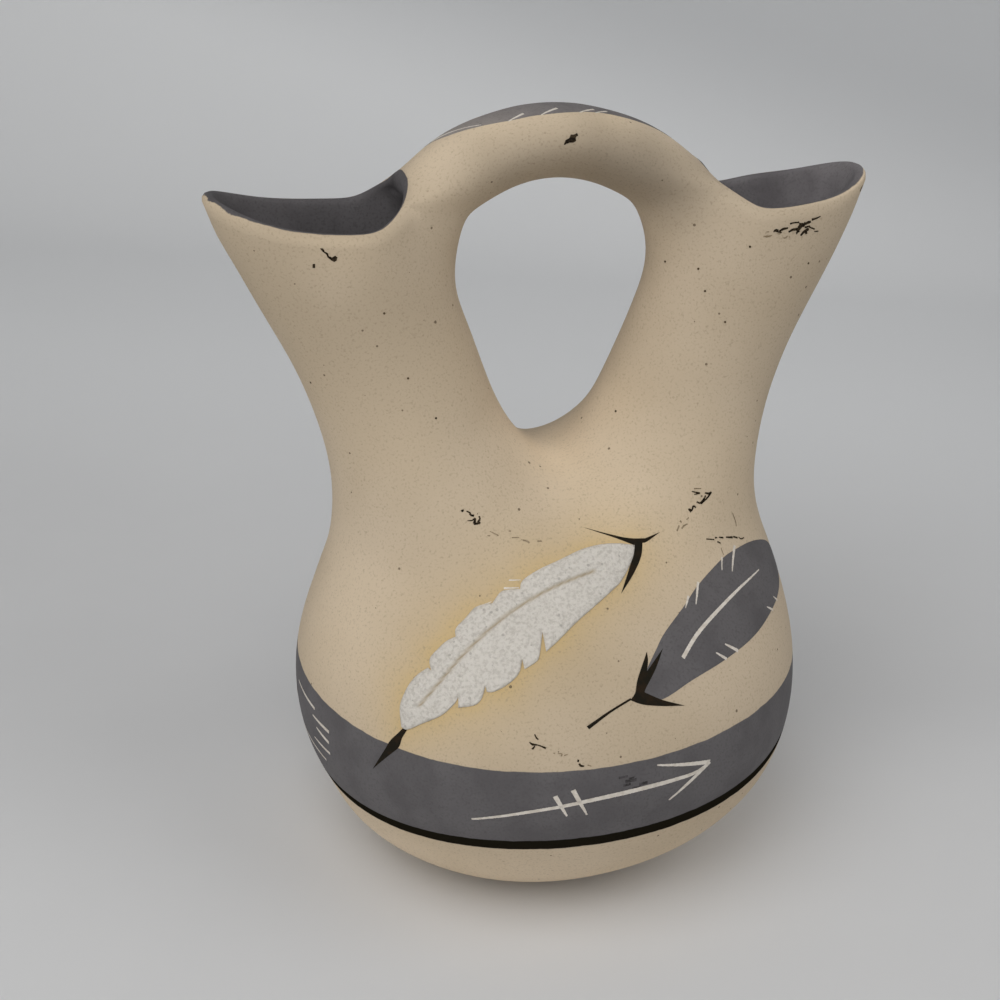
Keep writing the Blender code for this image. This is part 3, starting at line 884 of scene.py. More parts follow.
def painted_clay():
    """Cream clay with the grey band, the black line, the grey mouths, the ochre shade and pinholes, and with
    painted light and shade.
    """
    g = Graph("painted_clay", 0.80)
    clouds = g.step(g.noise(22, 3), 0.35, 0.65)
    cream = g.mix(clouds, CREAM_PALE, CREAM_DEEP)
    ragged = g.noise(260, 4)
    halo = g.math("MULTIPLY", g.attribute("halo"), g.math("ADD", 0.55, g.noise(70, 3)))
    cream = g.mix(halo, cream, OCHRE)
    grain = g.noise(1700, 2)
    cream = g.mix(g.math("MULTIPLY", g.step(grain, 0.50, 0.80), 0.50), cream, GRIT)
    cream = g.mix(g.math("MULTIPLY", g.dots(500, 0.17, 0.8), 0.35), cream, GRIT)
    # Painted light and shade: the clay is made brighter or darker where light or shade is painted on it
    cream = g.brighten(cream, g.attribute("painted_light"))
    pits = g.dots(330, 0.14, 0.22)
    cream = g.mix(g.math("MULTIPLY", pits, 0.80), cream, PINHOLE)
    grey = grey_slip(g)
    waver = g.math("MULTIPLY", g.math("SUBTRACT", ragged, 0.5), 0.5)
    band = g.step(g.math("ADD", g.attribute("band"), waver), -0.12, 0.12)
    colour = g.mix(band, cream, grey)
    line = g.step(g.math("ADD", g.attribute("line"), waver), -0.12, 0.12)
    colour = g.mix(line, colour, BLACK)
    mouth = g.math("ADD", g.attribute("inside"), g.math("MULTIPLY", waver, g.attribute("wear")))
    # The grey inside the mouths is brightened where light is painted on it, most inside the right mouth
    colour = g.mix(g.step(mouth, 1.15, 1.45), colour, g.brighten(grey, g.attribute("painted_light")))
    gloss = g.math("ADD", g.math("MULTIPLY", band, GREY_SHEEN), CLAY_GLOSS)
    gloss = g.math("MULTIPLY", gloss, g.math("SUBTRACT", 1.0, line))
    g.feed(g.shader.inputs["Specular IOR Level"], gloss)
    height = g.math("SUBTRACT", g.math("MULTIPLY", grain, 0.5), pits)
    return g.finish(colour, height, 0.00025, 0.45)


def mottled_paint(name, roughness, gloss, colours, scale, spread, grain=1700, strength=0.25):
    """A paint of two colours that mingle in clouds, with a fine grain."""
    g = Graph(name, roughness, gloss)
    colour = g.mix(g.step(g.noise(scale, 3), *spread), *colours)
    return g.finish(colour, g.noise(grain, 2), 0.0002, strength)


def grey_paint():
    g = Graph("grey_paint", 0.80, 0.55)
    return g.finish(grey_slip(g), g.noise(1700, 2), 0.0002, 0.25)


def thin_grey_paint():
    """Grey slip brushed on thinly, so that the clay shows through."""
    g = Graph("thin_grey_paint", 0.84)
    streaks = g.step(g.noise(160, 4, 0.6), 0.35, 0.68)
    across = g.add("ShaderNodeSeparateXYZ", {"Vector": g.place}).outputs["X"]
    thinness = g.math("MULTIPLY", g.step(g.math("MULTIPLY", across, -1.0), -0.004, 0.028), 0.75)
    colour = g.mix(streaks, THIN_GREY, THIN_GREY_DEEP)
    colour = g.mix(thinness, colour, WASH_GREY)
    colour = g.mix(g.math("MULTIPLY", g.step(g.noise(1500, 2), 0.5, 0.75), 0.35), colour, GREY_DEEP)
    return g.finish(colour, g.noise(1700, 2), 0.0002, 0.25)


def faint_paint():
    return mottled_paint("faint_paint", 0.84, CLAY_GLOSS, (FAINT_BROWN, GRIT), 1300, (0.4, 0.65))


def burnt_paint():
    return mottled_paint("burnt_paint", 0.85, DULL_GLOSS, (BURNT, BURNT_PALE), 1500, (0.4, 0.65))


def pinhole_paint():
    return mottled_paint("pinhole_paint", 0.85, DULL_GLOSS, (PINHOLE, BURNT_PALE), 600, (0.4, 0.65))


def smudged_paint():
    return mottled_paint("smudged_paint", 0.84, CLAY_GLOSS, (SMUDGE, GREY_DEEP), 900, (0.35, 0.7))


def black_paint():
    return mottled_paint("black_paint", 0.75, DULL_GLOSS, (BLACK, BLACK_WORN), 500, (0.4, 0.7), 1200, 0.2)


def scratched_clay():
    colours = (SCRATCH_PALE, SCRATCH_DEEP)
    return mottled_paint("scratched_clay", 0.9, CLAY_GLOSS, colours, 700, (0.35, 0.7), 900, 0.3)


def white_slip():
    """Thick white slip with a spongy surface, small grey specks and a yellowish groove, whose tan is partly
    the clay's colour and partly painted shade in the recess.
    """
    g = Graph("white_slip", 0.9)
    sponge = g.noise(1150, 4, 0.65)
    colour = g.mix(g.step(sponge, 0.42, 0.66), WHITE_PALE, WHITE_DEEP)
    pores = g.dots(620, 0.26, 0.35)
    colour = g.mix(g.math("MULTIPLY", pores, 0.45), colour, WHITE_SPECK)
    # Painted shade in the groove, together with the tan of the clay there
    colour = g.mix(g.attribute("groove"), colour, GROOVE_TAN_AND_SHADE)
    height = g.math("ADD", g.math("MULTIPLY", sponge, -1.0), g.math("MULTIPLY", pores, -0.3))
    return g.finish(colour, height, 0.0006, 0.8)


# Paint, as mean heights and waves round the vase, in millimetres
BAND_EDGE = (58.99, ((-1.84, -0.05), (0.02, 1.04), (0.07, 0.32)))
LINE_EDGE = (35.78, ((-2.64, 5.69), (-0.10, 0.41), (0.73, -0.77)))
LINE_WIDTH = 3.2
HALO_REACH = 6.0
HALO_STRENGTH = 0.85
HALO_BEHIND = -30.0
WORN_TIP = (-84.0, 0.0, 184.0)
WORN_REACH = 14.0
WORN_WAVER = 5.0

# Painted light and shade on the clay: a place, a reach in millimetres, and a share of the colour
PAINTED_LIGHT_AND_SHADE = (
    # Neck and crotch
    ((2, -16, 113), 16, 0.14), ((21, -31, 104), 18, 0.08), ((47, -21, 105), 16, 0.12),
    ((32, -32, 96), 12, 0.06), ((-3, -6, 113), 11, 0.32), ((14, -8, 128), 10, 0.12),
    ((-14, -8, 128), 10, 0.08),
    # Belly
    ((-60, -16, 76), 20, 0.16), ((-10, -60, 72), 22, -0.08),
    # Spouts
    ((-68, -16, 168), 30, -0.12), ((-38, -16, 165), 22, -0.09), ((40, -18, 150), 30, -0.08),
    ((62, -18, 170), 22, -0.08), ((-56, -20, 176), 10, 0.12),
    # Painted shade on the front of the handle, and painted light on its top
    ((14, -14, 194), 20, -0.56), ((-16, -13, 194), 13, -0.28), ((28, -12, 182), 11, -0.14),
    ((-34, -5, 191), 9, 0.15), ((-26, -4, 197), 9, 0.20), ((-14, -5, 201), 9, 0.37), ((0, -6, 203), 9, 0.39),
    ((15, -5, 201), 9, 0.58), ((29, -4, 195), 9, 0.33),
)
# Painted light on the grey inside the right mouth, given in the same way
MOUTH_PAINTED_LIGHT = (((78, 4, 180), 16, 0.80), ((58, 10, 176), 12, 0.40))
# Painted light on the lower bowl: a share of the colour that fades out between two heights in millimetres
FOOT_PAINTED_LIGHT = 0.28
FOOT_PAINTED_LIGHT_LOW = 18.0
FOOT_PAINTED_LIGHT_HIGH = 36.0


def periodic(angles, mean, waves):
    """A mean height with waves of (cosine, sine) parts round the vase."""
    total = np.full_like(angles, mean)
    for i, (cosine, sine) in enumerate(waves):
        total += cosine * np.cos((i + 1) * angles) + sine * np.sin((i + 1) * angles)
    return total


def cloud(points, place, reach):
    """A share that is 1 at a place and fades round it."""
    return np.exp(-(np.linalg.norm(points - np.array(place), axis=1) / reach) ** 2)


def with_painted_patches(painted_light, points, clouds):
    """The painted light and shade at the points, with soft patches of it added."""
    for place, reach, amount in clouds:
        painted_light = painted_light + amount * cloud(points, place, reach)
    return painted_light


# How far outside the skin a drawn point is pressed from, in metres, and the thinnest stroke, in millimetres
PRESS_DISTANCE = 0.04
LEAST_STROKE = 0.06


class Patch:
    """A flat sheet in front of the vase. What is drawn on it, in millimetres, is pressed onto the skin."""

    def __init__(self, origin, azimuth, tilt, slant):
        turn, lean, roll = (math.radians(a) for a in (azimuth, tilt, slant))
        self.origin = Vector(origin)
        flat = math.cos(lean)
        self.out = Vector((math.sin(turn) * flat, -math.cos(turn) * flat, math.sin(lean)))
        level = Vector((math.cos(turn), math.sin(turn), 0.0))
        rise = self.out.cross(level)
        self.along = level * math.cos(roll) + rise * math.sin(roll)
        self.across = rise * math.cos(roll) - level * math.sin(roll)

    def press(self, s, w):
        """Point and normal of the skin under a drawn point, in metres."""
        point = (self.origin + self.along * s + self.across * w) * MM
        hit, _, face, _ = skin_tree.ray_cast(point + self.out * PRESS_DISTANCE, -self.out)
        if hit is None:
            hit, _, face, _ = skin_tree.find_nearest(point)
        corners = skin_faces[face]
        weights = poly_3d_calc([skin_points[i] for i in corners], hit)
        normal = sum((skin_normals[i] * k for i, k in zip(corners, weights)), Vector())
        return hit, normal.normalized()


def curve_through(points, steps=6):
    """A smooth line through the points."""
    padded = [points[0], *points, points[-1]]
    line = []
    for a, b, c, d in zip(padded, padded[1:], padded[2:], padded[3:]):
        for i in range(steps):
            t = i / steps
            point = []
            for p, q, r, u in zip(a, b, c, d):
                bend = (2 * p - 5 * q + 4 * r - u) * t * t
                point.append(0.5 * (2 * q + (r - p) * t + bend + (3 * q - p - 3 * r + u) * t**3))
            line.append(tuple(point))
    return line + [tuple(points[-1])]


def outline_of(*arcs):
    """A closed outline of smooth arcs that meet in corners."""
    return [point for arc in arcs for point in curve_through(arc)[:-1]]


def stroke(points, widths):
    """Outline of a brush stroke along the points, with a width at each."""
    line = curve_through([(*p, w) for p, w in zip(points, widths)])
    left, right = [], []
    for i, (x, y, width) in enumerate(line):
        ahead, behind = line[min(i + 1, len(line) - 1)], line[max(i - 1, 0)]
        way = Vector((ahead[0] - behind[0], ahead[1] - behind[1])).normalized()
        half = max(width, LEAST_STROKE) / 2
        left.append((x - way.y * half, y + way.x * half))
        right.append((x + way.y * half, y - way.x * half))
    return left + right[::-1]


def dense(outline, spacing):
    """The closed outline with no step longer than the spacing."""
    points = []
    for (x0, y0), (x1, y1) in zip(outline, outline[1:] + outline[:1]):
        count = max(1, math.ceil(math.hypot(x1 - x0, y1 - y0) / spacing))
        points += [(x0 + (x1 - x0) * i / count, y0 + (y1 - y0) * i / count) for i in range(count)]
    return points


def segment_distance(points, a, b):
    """Distance of each point from the straight line between two others."""
    way = b - a
    t = np.clip(((points - a) @ way) / max(way @ way, 1e-12), 0, 1)
    return np.hypot(*(points - a - t[:, None] * way).T)


def line_distance(points, line):
    """Distance of each point from an open line."""
    points = np.asarray(points, float)
    line = np.asarray(line, float)
    nearest = np.full(len(points), np.inf)
    for a, b in zip(line, line[1:]):
        nearest = np.minimum(nearest, segment_distance(points, a, b))
    return nearest


def border_distance(points, outline):
    """Distance of each point from a closed outline, negative inside."""
    points = np.asarray(points, float)
    start = np.asarray(outline, float)
    end = np.roll(start, -1, axis=0)
    nearest = np.full(len(points), np.inf)
    inside = np.zeros(len(points), bool)
    for a, b in zip(start, end):
        way = b - a
        nearest = np.minimum(nearest, segment_distance(points, a, b))
        crosses = (a[1] > points[:, 1]) != (b[1] > points[:, 1])
        if a[1] != b[1]:
            inside ^= crosses & (points[:, 0] < a[0] + way[0] * (points[:, 1] - a[1]) / way[1])
    return np.where(inside, -nearest, nearest)


class Relief:
    """A thin closed piece of one or more motifs that are pressed onto the skin."""

    def __init__(self):
        self.points = []
        self.normals = []
        self.faces = []
        self.drawn = []

    def stamp(self, patch, outline, spacing, lift, swell=None):
        """Fill an outline and press it on. The swell gives each point's extra height from its place."""
        border = dense(outline, spacing)
        low, high = np.min(border, axis=0), np.max(border, axis=0)
        steps = [np.arange(a, b, spacing) for a, b in zip(low, high)]
        grid = np.stack(np.meshgrid(*steps), -1).reshape(-1, 2)
        if len(grid):
            grid = grid[border_distance(grid, border) < -0.5 * spacing]
        flat = [Vector(p) for p in border] + [Vector(p) for p in grid]
        edges = [(i, (i + 1) % len(border)) for i in range(len(border))]
        flat, _, faces, *_ = delaunay_2d_cdt(flat, edges, [], 1, 1e-5)
        first = len(self.points)
        count = len(flat)
        heights = [lift] * count if swell is None else swell(np.array([tuple(p) for p in flat]), border)
        sunk = []
        for point, height in zip(flat, heights):
            hit, normal = patch.press(*point)
            self.points.append(hit + normal * (height * MM))
            sunk.append(hit - normal * (SINK * MM))
            self.normals.append(normal)
        self.points += sunk
        self.normals += self.normals[first:first + count]
        self.drawn += [tuple(p) for p in flat] * 2
        used = {}
        for face in faces:
            a, b, c = (first + i for i in face)
            self.faces.append((a, b, c))
            self.faces.append((c + count, b + count, a + count))
            used.update(dict.fromkeys(((a, b), (b, c), (c, a))))
        for i, j in used:
            if (j, i) not in used:
                self.faces.append((j, i, i + count, j + count))

    def finish(self, name, material, slot, shaded_as_skin=True):
        mesh = bpy.data.meshes.new(name)
        mesh.from_pydata(self.points, [], self.faces)
        mesh.update()
        for polygon in mesh.polygons:
            polygon.use_smooth = True
        if shaded_as_skin:
            mesh.normals_split_custom_set_from_vertices(self.normals)
        mesh.materials.append(material)
        return add_piece(name, mesh)


def add_values(mesh, name, values):
    """A value at each point of the mesh, for its material to read."""
    mesh.attributes.new(name, "FLOAT", "POINT").data.foreach_set("value", values.astype(np.float32))


def add_piece(name, mesh):
    piece = bpy.data.objects.new(name, mesh)
    bpy.context.scene.collection.objects.link(piece)
    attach(piece, "root")
    return piece


# Sheets that the motifs are drawn on: an origin, then azimuth, tilt and slant in degrees
WHITE_PATCH = Patch((-48.9, -45.7, 62.1), -18.49, 38.44, 40.71)
GREY_PATCH = Patch((6.9, -61.8, 70.9), 27.77, 32.27, 17.91)
ARROW_PATCH = Patch((-5.9, -67.8, 48.0), -5.0, 0.0, 0.0)
FLETCH_PATCH = Patch((-66.5, -14.1, 46.0), -78.0, 0.0, 0.0)
BACK_PATCH = Patch((-61.6, 28.7, 46.0), -115.0, 0.0, 0.0)
HANDLE_PATCH = Patch((0.0, 0.0, 204.0), 0.0, 90.0, 0.0)

# Height of paint and strokes over the skin, their depth in it and the spacing of their points, in
# millimetres, then the unevenness of ragged edges and the widths along a scratch
PAINT_LIFT = 0.05
STROKE_LIFT = 0.09
SINK = 0.25
WHITE_SPACING = 0.5
GREY_SPACING = 1.2
HANDLE_SPACING = 0.9
STROKE_SPACING = 0.7
SCUFF_SPACING = 0.6
RAGGED_SPACING = 0.3
RAGGED_REACH = 0.10
RAGGED_SCALE = 4
SCRATCH_TAPER = (0.35, 0.8, 1.0)

WHITE_OUTLINE = outline_of(
    [(0.0, 0.0), (1.9, 3.0), (3.6, 4.7), (7.4, 6.5), (10.8, 7.0), (13.8, 6.6)],
    [(13.8, 6.6), (14.0, 5.4)],
    [(14.0, 5.4), (15.5, 8.0), (18.8, 8.6), (21.4, 8.7), (23.7, 8.1)],
    [(23.7, 8.1), (25.0, 9.7), (28.5, 10.3), (32.2, 10.9), (35.8, 9.1)],
    [(35.8, 9.1), (38.9, 10.1), (40.7, 9.6), (43.4, 7.8)],
    [(43.4, 7.8), (45.3, 9.1), (50.1, 8.8), (55.3, 7.8), (61.7, 6.8), (66.6, 5.0), (70.4, 2.6), (73.4, 0.0)],
    [(73.4, 0.0), (70.7, -2.4), (65.1, -5.2), (61.2, -6.0), (55.0, -6.7), (48.9, -7.3), (42.6, -8.3),
     (38.6, -8.7)],
    [(38.6, -8.7), (41.0, -4.2)],
    [(41.0, -4.2), (36.8, -8.4), (34.9, -9.2), (31.8, -8.9)],
    [(31.8, -8.9), (32.9, -6.5)],
    [(32.9, -6.5), (30.2, -8.8), (26.6, -9.3), (22.7, -8.6), (21.3, -7.5)],
    [(21.3, -7.5), (21.9, -6.1)],
    [(21.9, -6.1), (19.4, -7.9), (17.0, -8.1), (13.6, -6.0)],
    [(13.6, -6.0), (15.3, -3.9)],
    [(15.3, -3.9), (13.0, -4.7), (9.0, -4.6), (4.6, -3.0), (0.9, -1.6), (0.0, 0.0)],
)
GROOVE = curve_through(
    [(6.8, 0.7), (14.1, 1.8), (20.6, 3.0), (28.5, 3.9), (36.6, 4.4), (44.6, 3.9), (51.9, 2.7), (60.7, 0.5)]
)
WHITE_QUILL = outline_of(
    [(0.2, -0.4), (0.8, -1.3), (-1.6, -2.0), (-3.6, -3.0), (-6.2, -2.7), (-12.1, -1.7)],
    [(-12.1, -1.7), (-7.1, -0.9), (-4.4, -0.3), (-1.7, -0.4), (0.2, -0.4)],
)
WHITE_TIE = outline_of(
    [(66.0, 11.1), (72.5, 3.1), (76.8, -0.1)],
    [(76.8, -0.1), (81.0, -0.9)],
    [(81.0, -0.9), (76.7, -1.0), (75.5, -0.6)],
    [(75.5, -0.6), (72.9, -3.2), (68.3, -5.7), (62.7, -7.9)],
    [(62.7, -7.9), (70.7, -2.4), (73.4, 0.0)],
    [(73.4, 0.0), (70.1, 5.1), (66.0, 11.1)],
)
GREY_OUTLINE = outline_of(
    [(0.6, 0.0), (2.8, 2.2), (6.6, 4.2), (12.0, 6.1), (17.4, 7.7), (27.1, 8.9), (35.2, 9.9), (46.9, 9.9),
     (53.6, 8.7), (60.0, 6.9), (65.8, 4.4), (70.5, 1.6), (73.0, -1.2), (73.2, -4.0), (71.2, -7.1),
     (64.8, -9.1), (58.2, -9.9), (52.7, -10.1), (44.0, -10.2), (37.6, -9.8), (30.7, -8.8), (23.4, -7.4),
     (14.0, -5.3), (5.2, -3.8), (2.0, -1.6)],
    [(2.0, -1.6), (0.6, 0.0)],
)
GREY_TIE = outline_of(
    [(9.9, 7.3), (3.3, 4.1), (0.3, 2.0), (-1.8, 1.5)],
    [(-1.8, 1.5), (-0.1, -1.4), (3.9, -5.2), (8.2, -8.5)],
    [(8.2, -8.5), (4.5, -3.8), (2.3, 0.3)],
    [(2.3, 0.3), (2.8, 1.0), (8.7, 3.0), (13.8, 5.3)],
    [(13.8, 5.3), (6.3, 3.9)],
    [(6.3, 3.9), (8.5, 5.6), (9.9, 7.3)],
)
GREY_STEM = stroke([(-1.5, 1.6), (-7.3, 2.5), (-13.3, 2.8)], (0.5, 0.55, 0.9))
GREY_QUILL = stroke(
    [(16.2, 0.2), (24.0, 1.8), (33.7, 2.05), (44.6, 1.5), (56.6, 0.0)], (1.0, 1.0, 0.9, 0.7, 0.3)
)
GREY_NICKS = (
    ((26.7, 8.3), (30.1, 9.8), 0.55), ((29.9, 7.1), (35.5, 10.4), 0.65), ((44.3, 7.9), (47.2, 10.2), 0.5),
    ((47.0, 5.7), (53.7, 9.7), 0.8), ((56.4, -8.4), (57.9, -10.4), 0.6), ((50.7, -8.2), (52.8, -10.5), 0.7),
    ((29.0, -5.1), (31.3, -9.0), 0.9), ((25.0, -4.9), (26.5, -8.1), 0.8),
)
WHITE_NICKS = (
    ((43.4, 8.2), (40.4, 10.4), 0.45), ((44.9, 9.5), (42.6, 11.2), 0.3), ((35.9, 9.6), (33.2, 10.4), 0.4),
)
HANDLE_OUTLINE = outline_of(
    [(-30.6, 5.0), (-29.2, 3.0), (-26.4, -0.3), (-22.4, -2.6), (-18.8, -4.2), (-11.7, -6.4), (-6.4, -6.8),
     (-1.7, -6.9), (5.5, -6.1), (12.4, -4.6), (19.2, -3.8), (24.6, -3.0), (29.5, -1.7), (31.5, 0.0)],
    [(31.5, 0.0), (31.0, 2.5), (26.0, 5.0), (20.0, 8.0), (10.0, 9.6), (0.0, 10.0), (-12.0, 9.2),
     (-21.0, 8.0), (-27.0, 6.8), (-30.6, 5.0)],
)
HANDLE_NICKS = (
    ((-12.4, -6.5), (-8.2, -4.8), 0.75), ((-4.4, -7.0), (0.3, -4.1), 0.75), ((5.4, -6.4), (9.9, -3.3), 0.7),
    ((9.6, -5.6), (13.4, -2.7), 0.6), ((-20.0, 8.2), (-17.0, 4.6), 0.6), ((2.0, 10.2), (4.5, 6.8), 0.6),
    ((12.0, 9.8), (14.0, 6.8), 0.6), ((-18.5, -3.7), (-29.0, 3.6), 0.45),
    ((-22.5, -1.2), (-29.0, 4.6), 0.40),
)
ARROW_SHAFT = (
    (-29.2, -6.9), (-17.6, -3.3), (-8.3, -1.1), (1.2, 0.7), (11.8, 1.8), (19.5, 2.1), (26.5, 2.3),
    (30.4, 3.8),
)
ARROW_SHAFT_WIDTHS = (0.5, 0.8, 0.9, 1.1, 1.2, 1.1, 0.9, 0.6)
ARROW_TICKS = (((-6.7, -4.0), (-9.7, 2.0), 1.2), ((-1.8, -3.9), (-5.4, 3.6), 1.2))
ARROW_HEAD = (((15.8, 7.5), (30.6, 3.9), 1.1), ((19.5, -3.6), (30.6, 3.9), 1.1))
FLETCHES = (
    ((-13.0, 7.9), (2.1, 7.2), 0.7), ((0.8, 4.7), (10.3, 4.4), 0.9), ((2.9, 2.0), (9.8, 0.9), 0.9),
    ((0.2, -2.3), (9.5, -2.6), 0.7), ((-12.0, -5.4), (5.7, -6.6), 0.5),
)
BACK_ARROW = (
    ((24.0, 0.5), (-26.0, 1.5), 0.8), ((-27.0, 1.5), (-15.0, 6.5), 0.9), ((-27.0, 1.5), (-16.5, -4.5), 0.9),
)

# Scuffs: a place on the skin, then strokes round it as points of (right, up, width), in millimetres
RIGHT_SPOUT_PLACE = (56.9, -19.6, 174.3)
LEFT_SPOUT_PLACE = (-58.9, -19.4, 174.8)
RIGHT_TIP_PLACE = (79.1, -10.7, 181.0)
RIGHT_TIP_EDGE = (79.2, -10.5, 182.1)
LEFT_NECK_PLACE = (-27.1, -28.4, 108.5)
RIGHT_NECK_PLACE = (32.8, -28.3, 106.3)
BELLY_PLACE = (-19.7, -63.4, 63.3)
BAND_PLACE = (2.3, -68.4, 52.4)
HANDLE_PLACE = (1.3, -13.1, 197.7)
DARK_SCUFFS = (
    (RIGHT_TIP_PLACE, (((-0.2, -0.8, 0.5), (0.2, 0.5, 0.9)),)),
    (RIGHT_SPOUT_PLACE, (
        ((-1.0, -0.9, 0.3), (0.0, -0.4, 0.55), (1.1, -0.3, 0.5), (2.2, 0.0, 0.45)),
        ((1.6, 0.0, 0.5), (2.5, 0.6, 0.9), (3.4, 0.4, 0.7)),
        ((3.3, 0.7, 0.4), (4.3, 1.1, 0.65), (5.1, 1.2, 0.4)),
        ((5.3, 1.7, 0.5), (6.7, 1.9, 0.35), (7.9, 2.3, 0.2)),
        ((2.5, -2.1, 0.4), (3.4, -1.2, 0.6), (4.4, -0.7, 0.65), (4.6, -0.4, 0.3)),
        ((3.8, -1.7, 0.4), (4.4, -1.5, 0.5)),
        ((4.8, -0.1, 0.3), (6.5, -0.9, 0.3)),
        ((1.2, -1.3, 0.35), (2.3, 0.0, 0.5), (3.5, 1.2, 0.35)),
        ((1.8, 1.1, 0.35), (3.1, 0.4, 0.5)),
        ((0.9, -0.3, 0.35), (2.0, -1.1, 0.4)),
        ((3.5, -0.1, 0.4), (5.0, 0.1, 0.3)),
        ((-3.5, -0.5, 0.3), (-2.5, 0.0, 0.55), (-1.2, 0.2, 0.3)),
        ((-4.7, -0.4, 0.25), (-2.9, -0.9, 0.3)),
        ((-5.0, -0.6, 0.25), (-4.5, -0.1, 0.35), (-3.7, -0.3, 0.3)),
        ((-0.8, 1.2, 0.35), (0.2, 1.4, 0.3), (1.7, 1.4, 0.35)),
        ((1.2, -1.6, 0.2), (1.6, -1.0, 0.35)),
        ((6.5, -1.5, 0.2), (7.8, -1.6, 0.25)),
    )),
    (LEFT_SPOUT_PLACE, (
        ((-3.7, -2.6, 0.8), (-3.1, -2.6, 0.8)),
    )),
    (LEFT_NECK_PLACE, (
        ((-2.4, 1.8, 0.5), (-1.8, 2.1, 0.4)),
        ((-1.1, 1.8, 0.25), (-0.3, 1.3, 0.35), (-0.2, 0.8, 0.4), (0.7, 0.5, 0.5)),
        ((1.9, 0.3, 0.3), (2.1, -0.3, 0.35), (1.6, -1.2, 0.5), (2.2, -1.3, 0.35)),
        ((-1.0, -0.6, 0.15), (0.1, -0.6, 0.3), (0.9, -0.2, 0.4), (0.6, -1.4, 0.6)),
        ((0.5, -1.5, 0.5), (2.0, -1.4, 0.5)),
        ((1.5, 0.8, 0.15), (1.6, 1.0, 0.15)),
    )),
    (RIGHT_NECK_PLACE, (
        ((-2.9, -1.7, 0.5), (-3.4, -0.9, 0.4), (-2.6, -1.3, 0.4), (-2.0, -0.4, 0.4), (-1.3, -0.9, 0.3)),
        ((-0.8, 0.5, 0.3), (0.2, 0.0, 0.4), (1.6, 0.9, 0.35), (2.1, 1.6, 0.3)),
        ((0.4, -0.3, 0.3), (2.6, 0.9, 0.4), (3.9, 1.9, 0.35)),
        ((2.0, 2.3, 0.3), (3.2, 1.9, 0.5), (4.1, 2.1, 0.35)),
        ((-1.8, 3.4, 0.15), (-0.3, 2.8, 0.35), (0.4, 2.5, 0.3), (-1.2, 2.5, 0.25)),
        ((0.6, -9.5, 0.25), (3.2, -10.2, 0.25)),
        ((3.6, -9.8, 0.4), (4.4, -10.0, 0.2)),
        ((5.0, -10.0, 0.2), (6.6, -10.5, 0.4)),
        ((7.7, -10.6, 0.3), (10.2, -11.2, 0.5)),
        ((10.5, -11.1, 0.35), (12.2, -11.8, 0.35)),
        ((12.7, -11.7, 0.2), (13.6, -12.4, 0.25), (14.9, -12.4, 0.25)),
        ((4.2, -11.0, 0.3), (5.2, -11.6, 0.25)),
    )),
    (BELLY_PLACE, (
        ((-0.3, 2.4, 0.15), (0.0, 1.7, 0.3), (0.6, 1.1, 0.35)),
        ((-1.5, 0.4, 0.15), (-0.7, -0.1, 0.45), (0.5, -0.2, 0.25), (2.5, -0.9, 0.4)),
        ((-0.8, -1.3, 0.4), (-0.2, -0.5, 0.25)),
        ((10.1, -3.8, 0.5), (10.5, -3.9, 0.4)),
        ((10.5, -4.6, 0.3), (11.0, -5.1, 0.5), (11.8, -5.2, 0.2)),
    )),
)
HANDLE_CHIP = (
    (-1.8, -1.3), (-1.3, -0.2), (-0.4, 0.2), (0.1, 1.0), (0.9, 1.0), (1.7, 1.3), (1.9, 0.7), (1.2, 0.3),
    (1.3, -0.5), (0.5, -0.9), (-0.1, -0.8), (-0.9, -1.0),
)
LEFT_CHIP = (
    (-1.8, 1.6), (-1.2, 1.7), (-0.7, 0.8), (0.0, 0.4), (0.2, -0.3), (0.9, -0.6), (1.6, -0.2), (2.1, -0.6),
    (1.9, -1.4), (1.3, -1.7), (0.7, -1.3), (-0.2, -0.5), (-0.5, 0.3), (-1.2, 0.8),
)
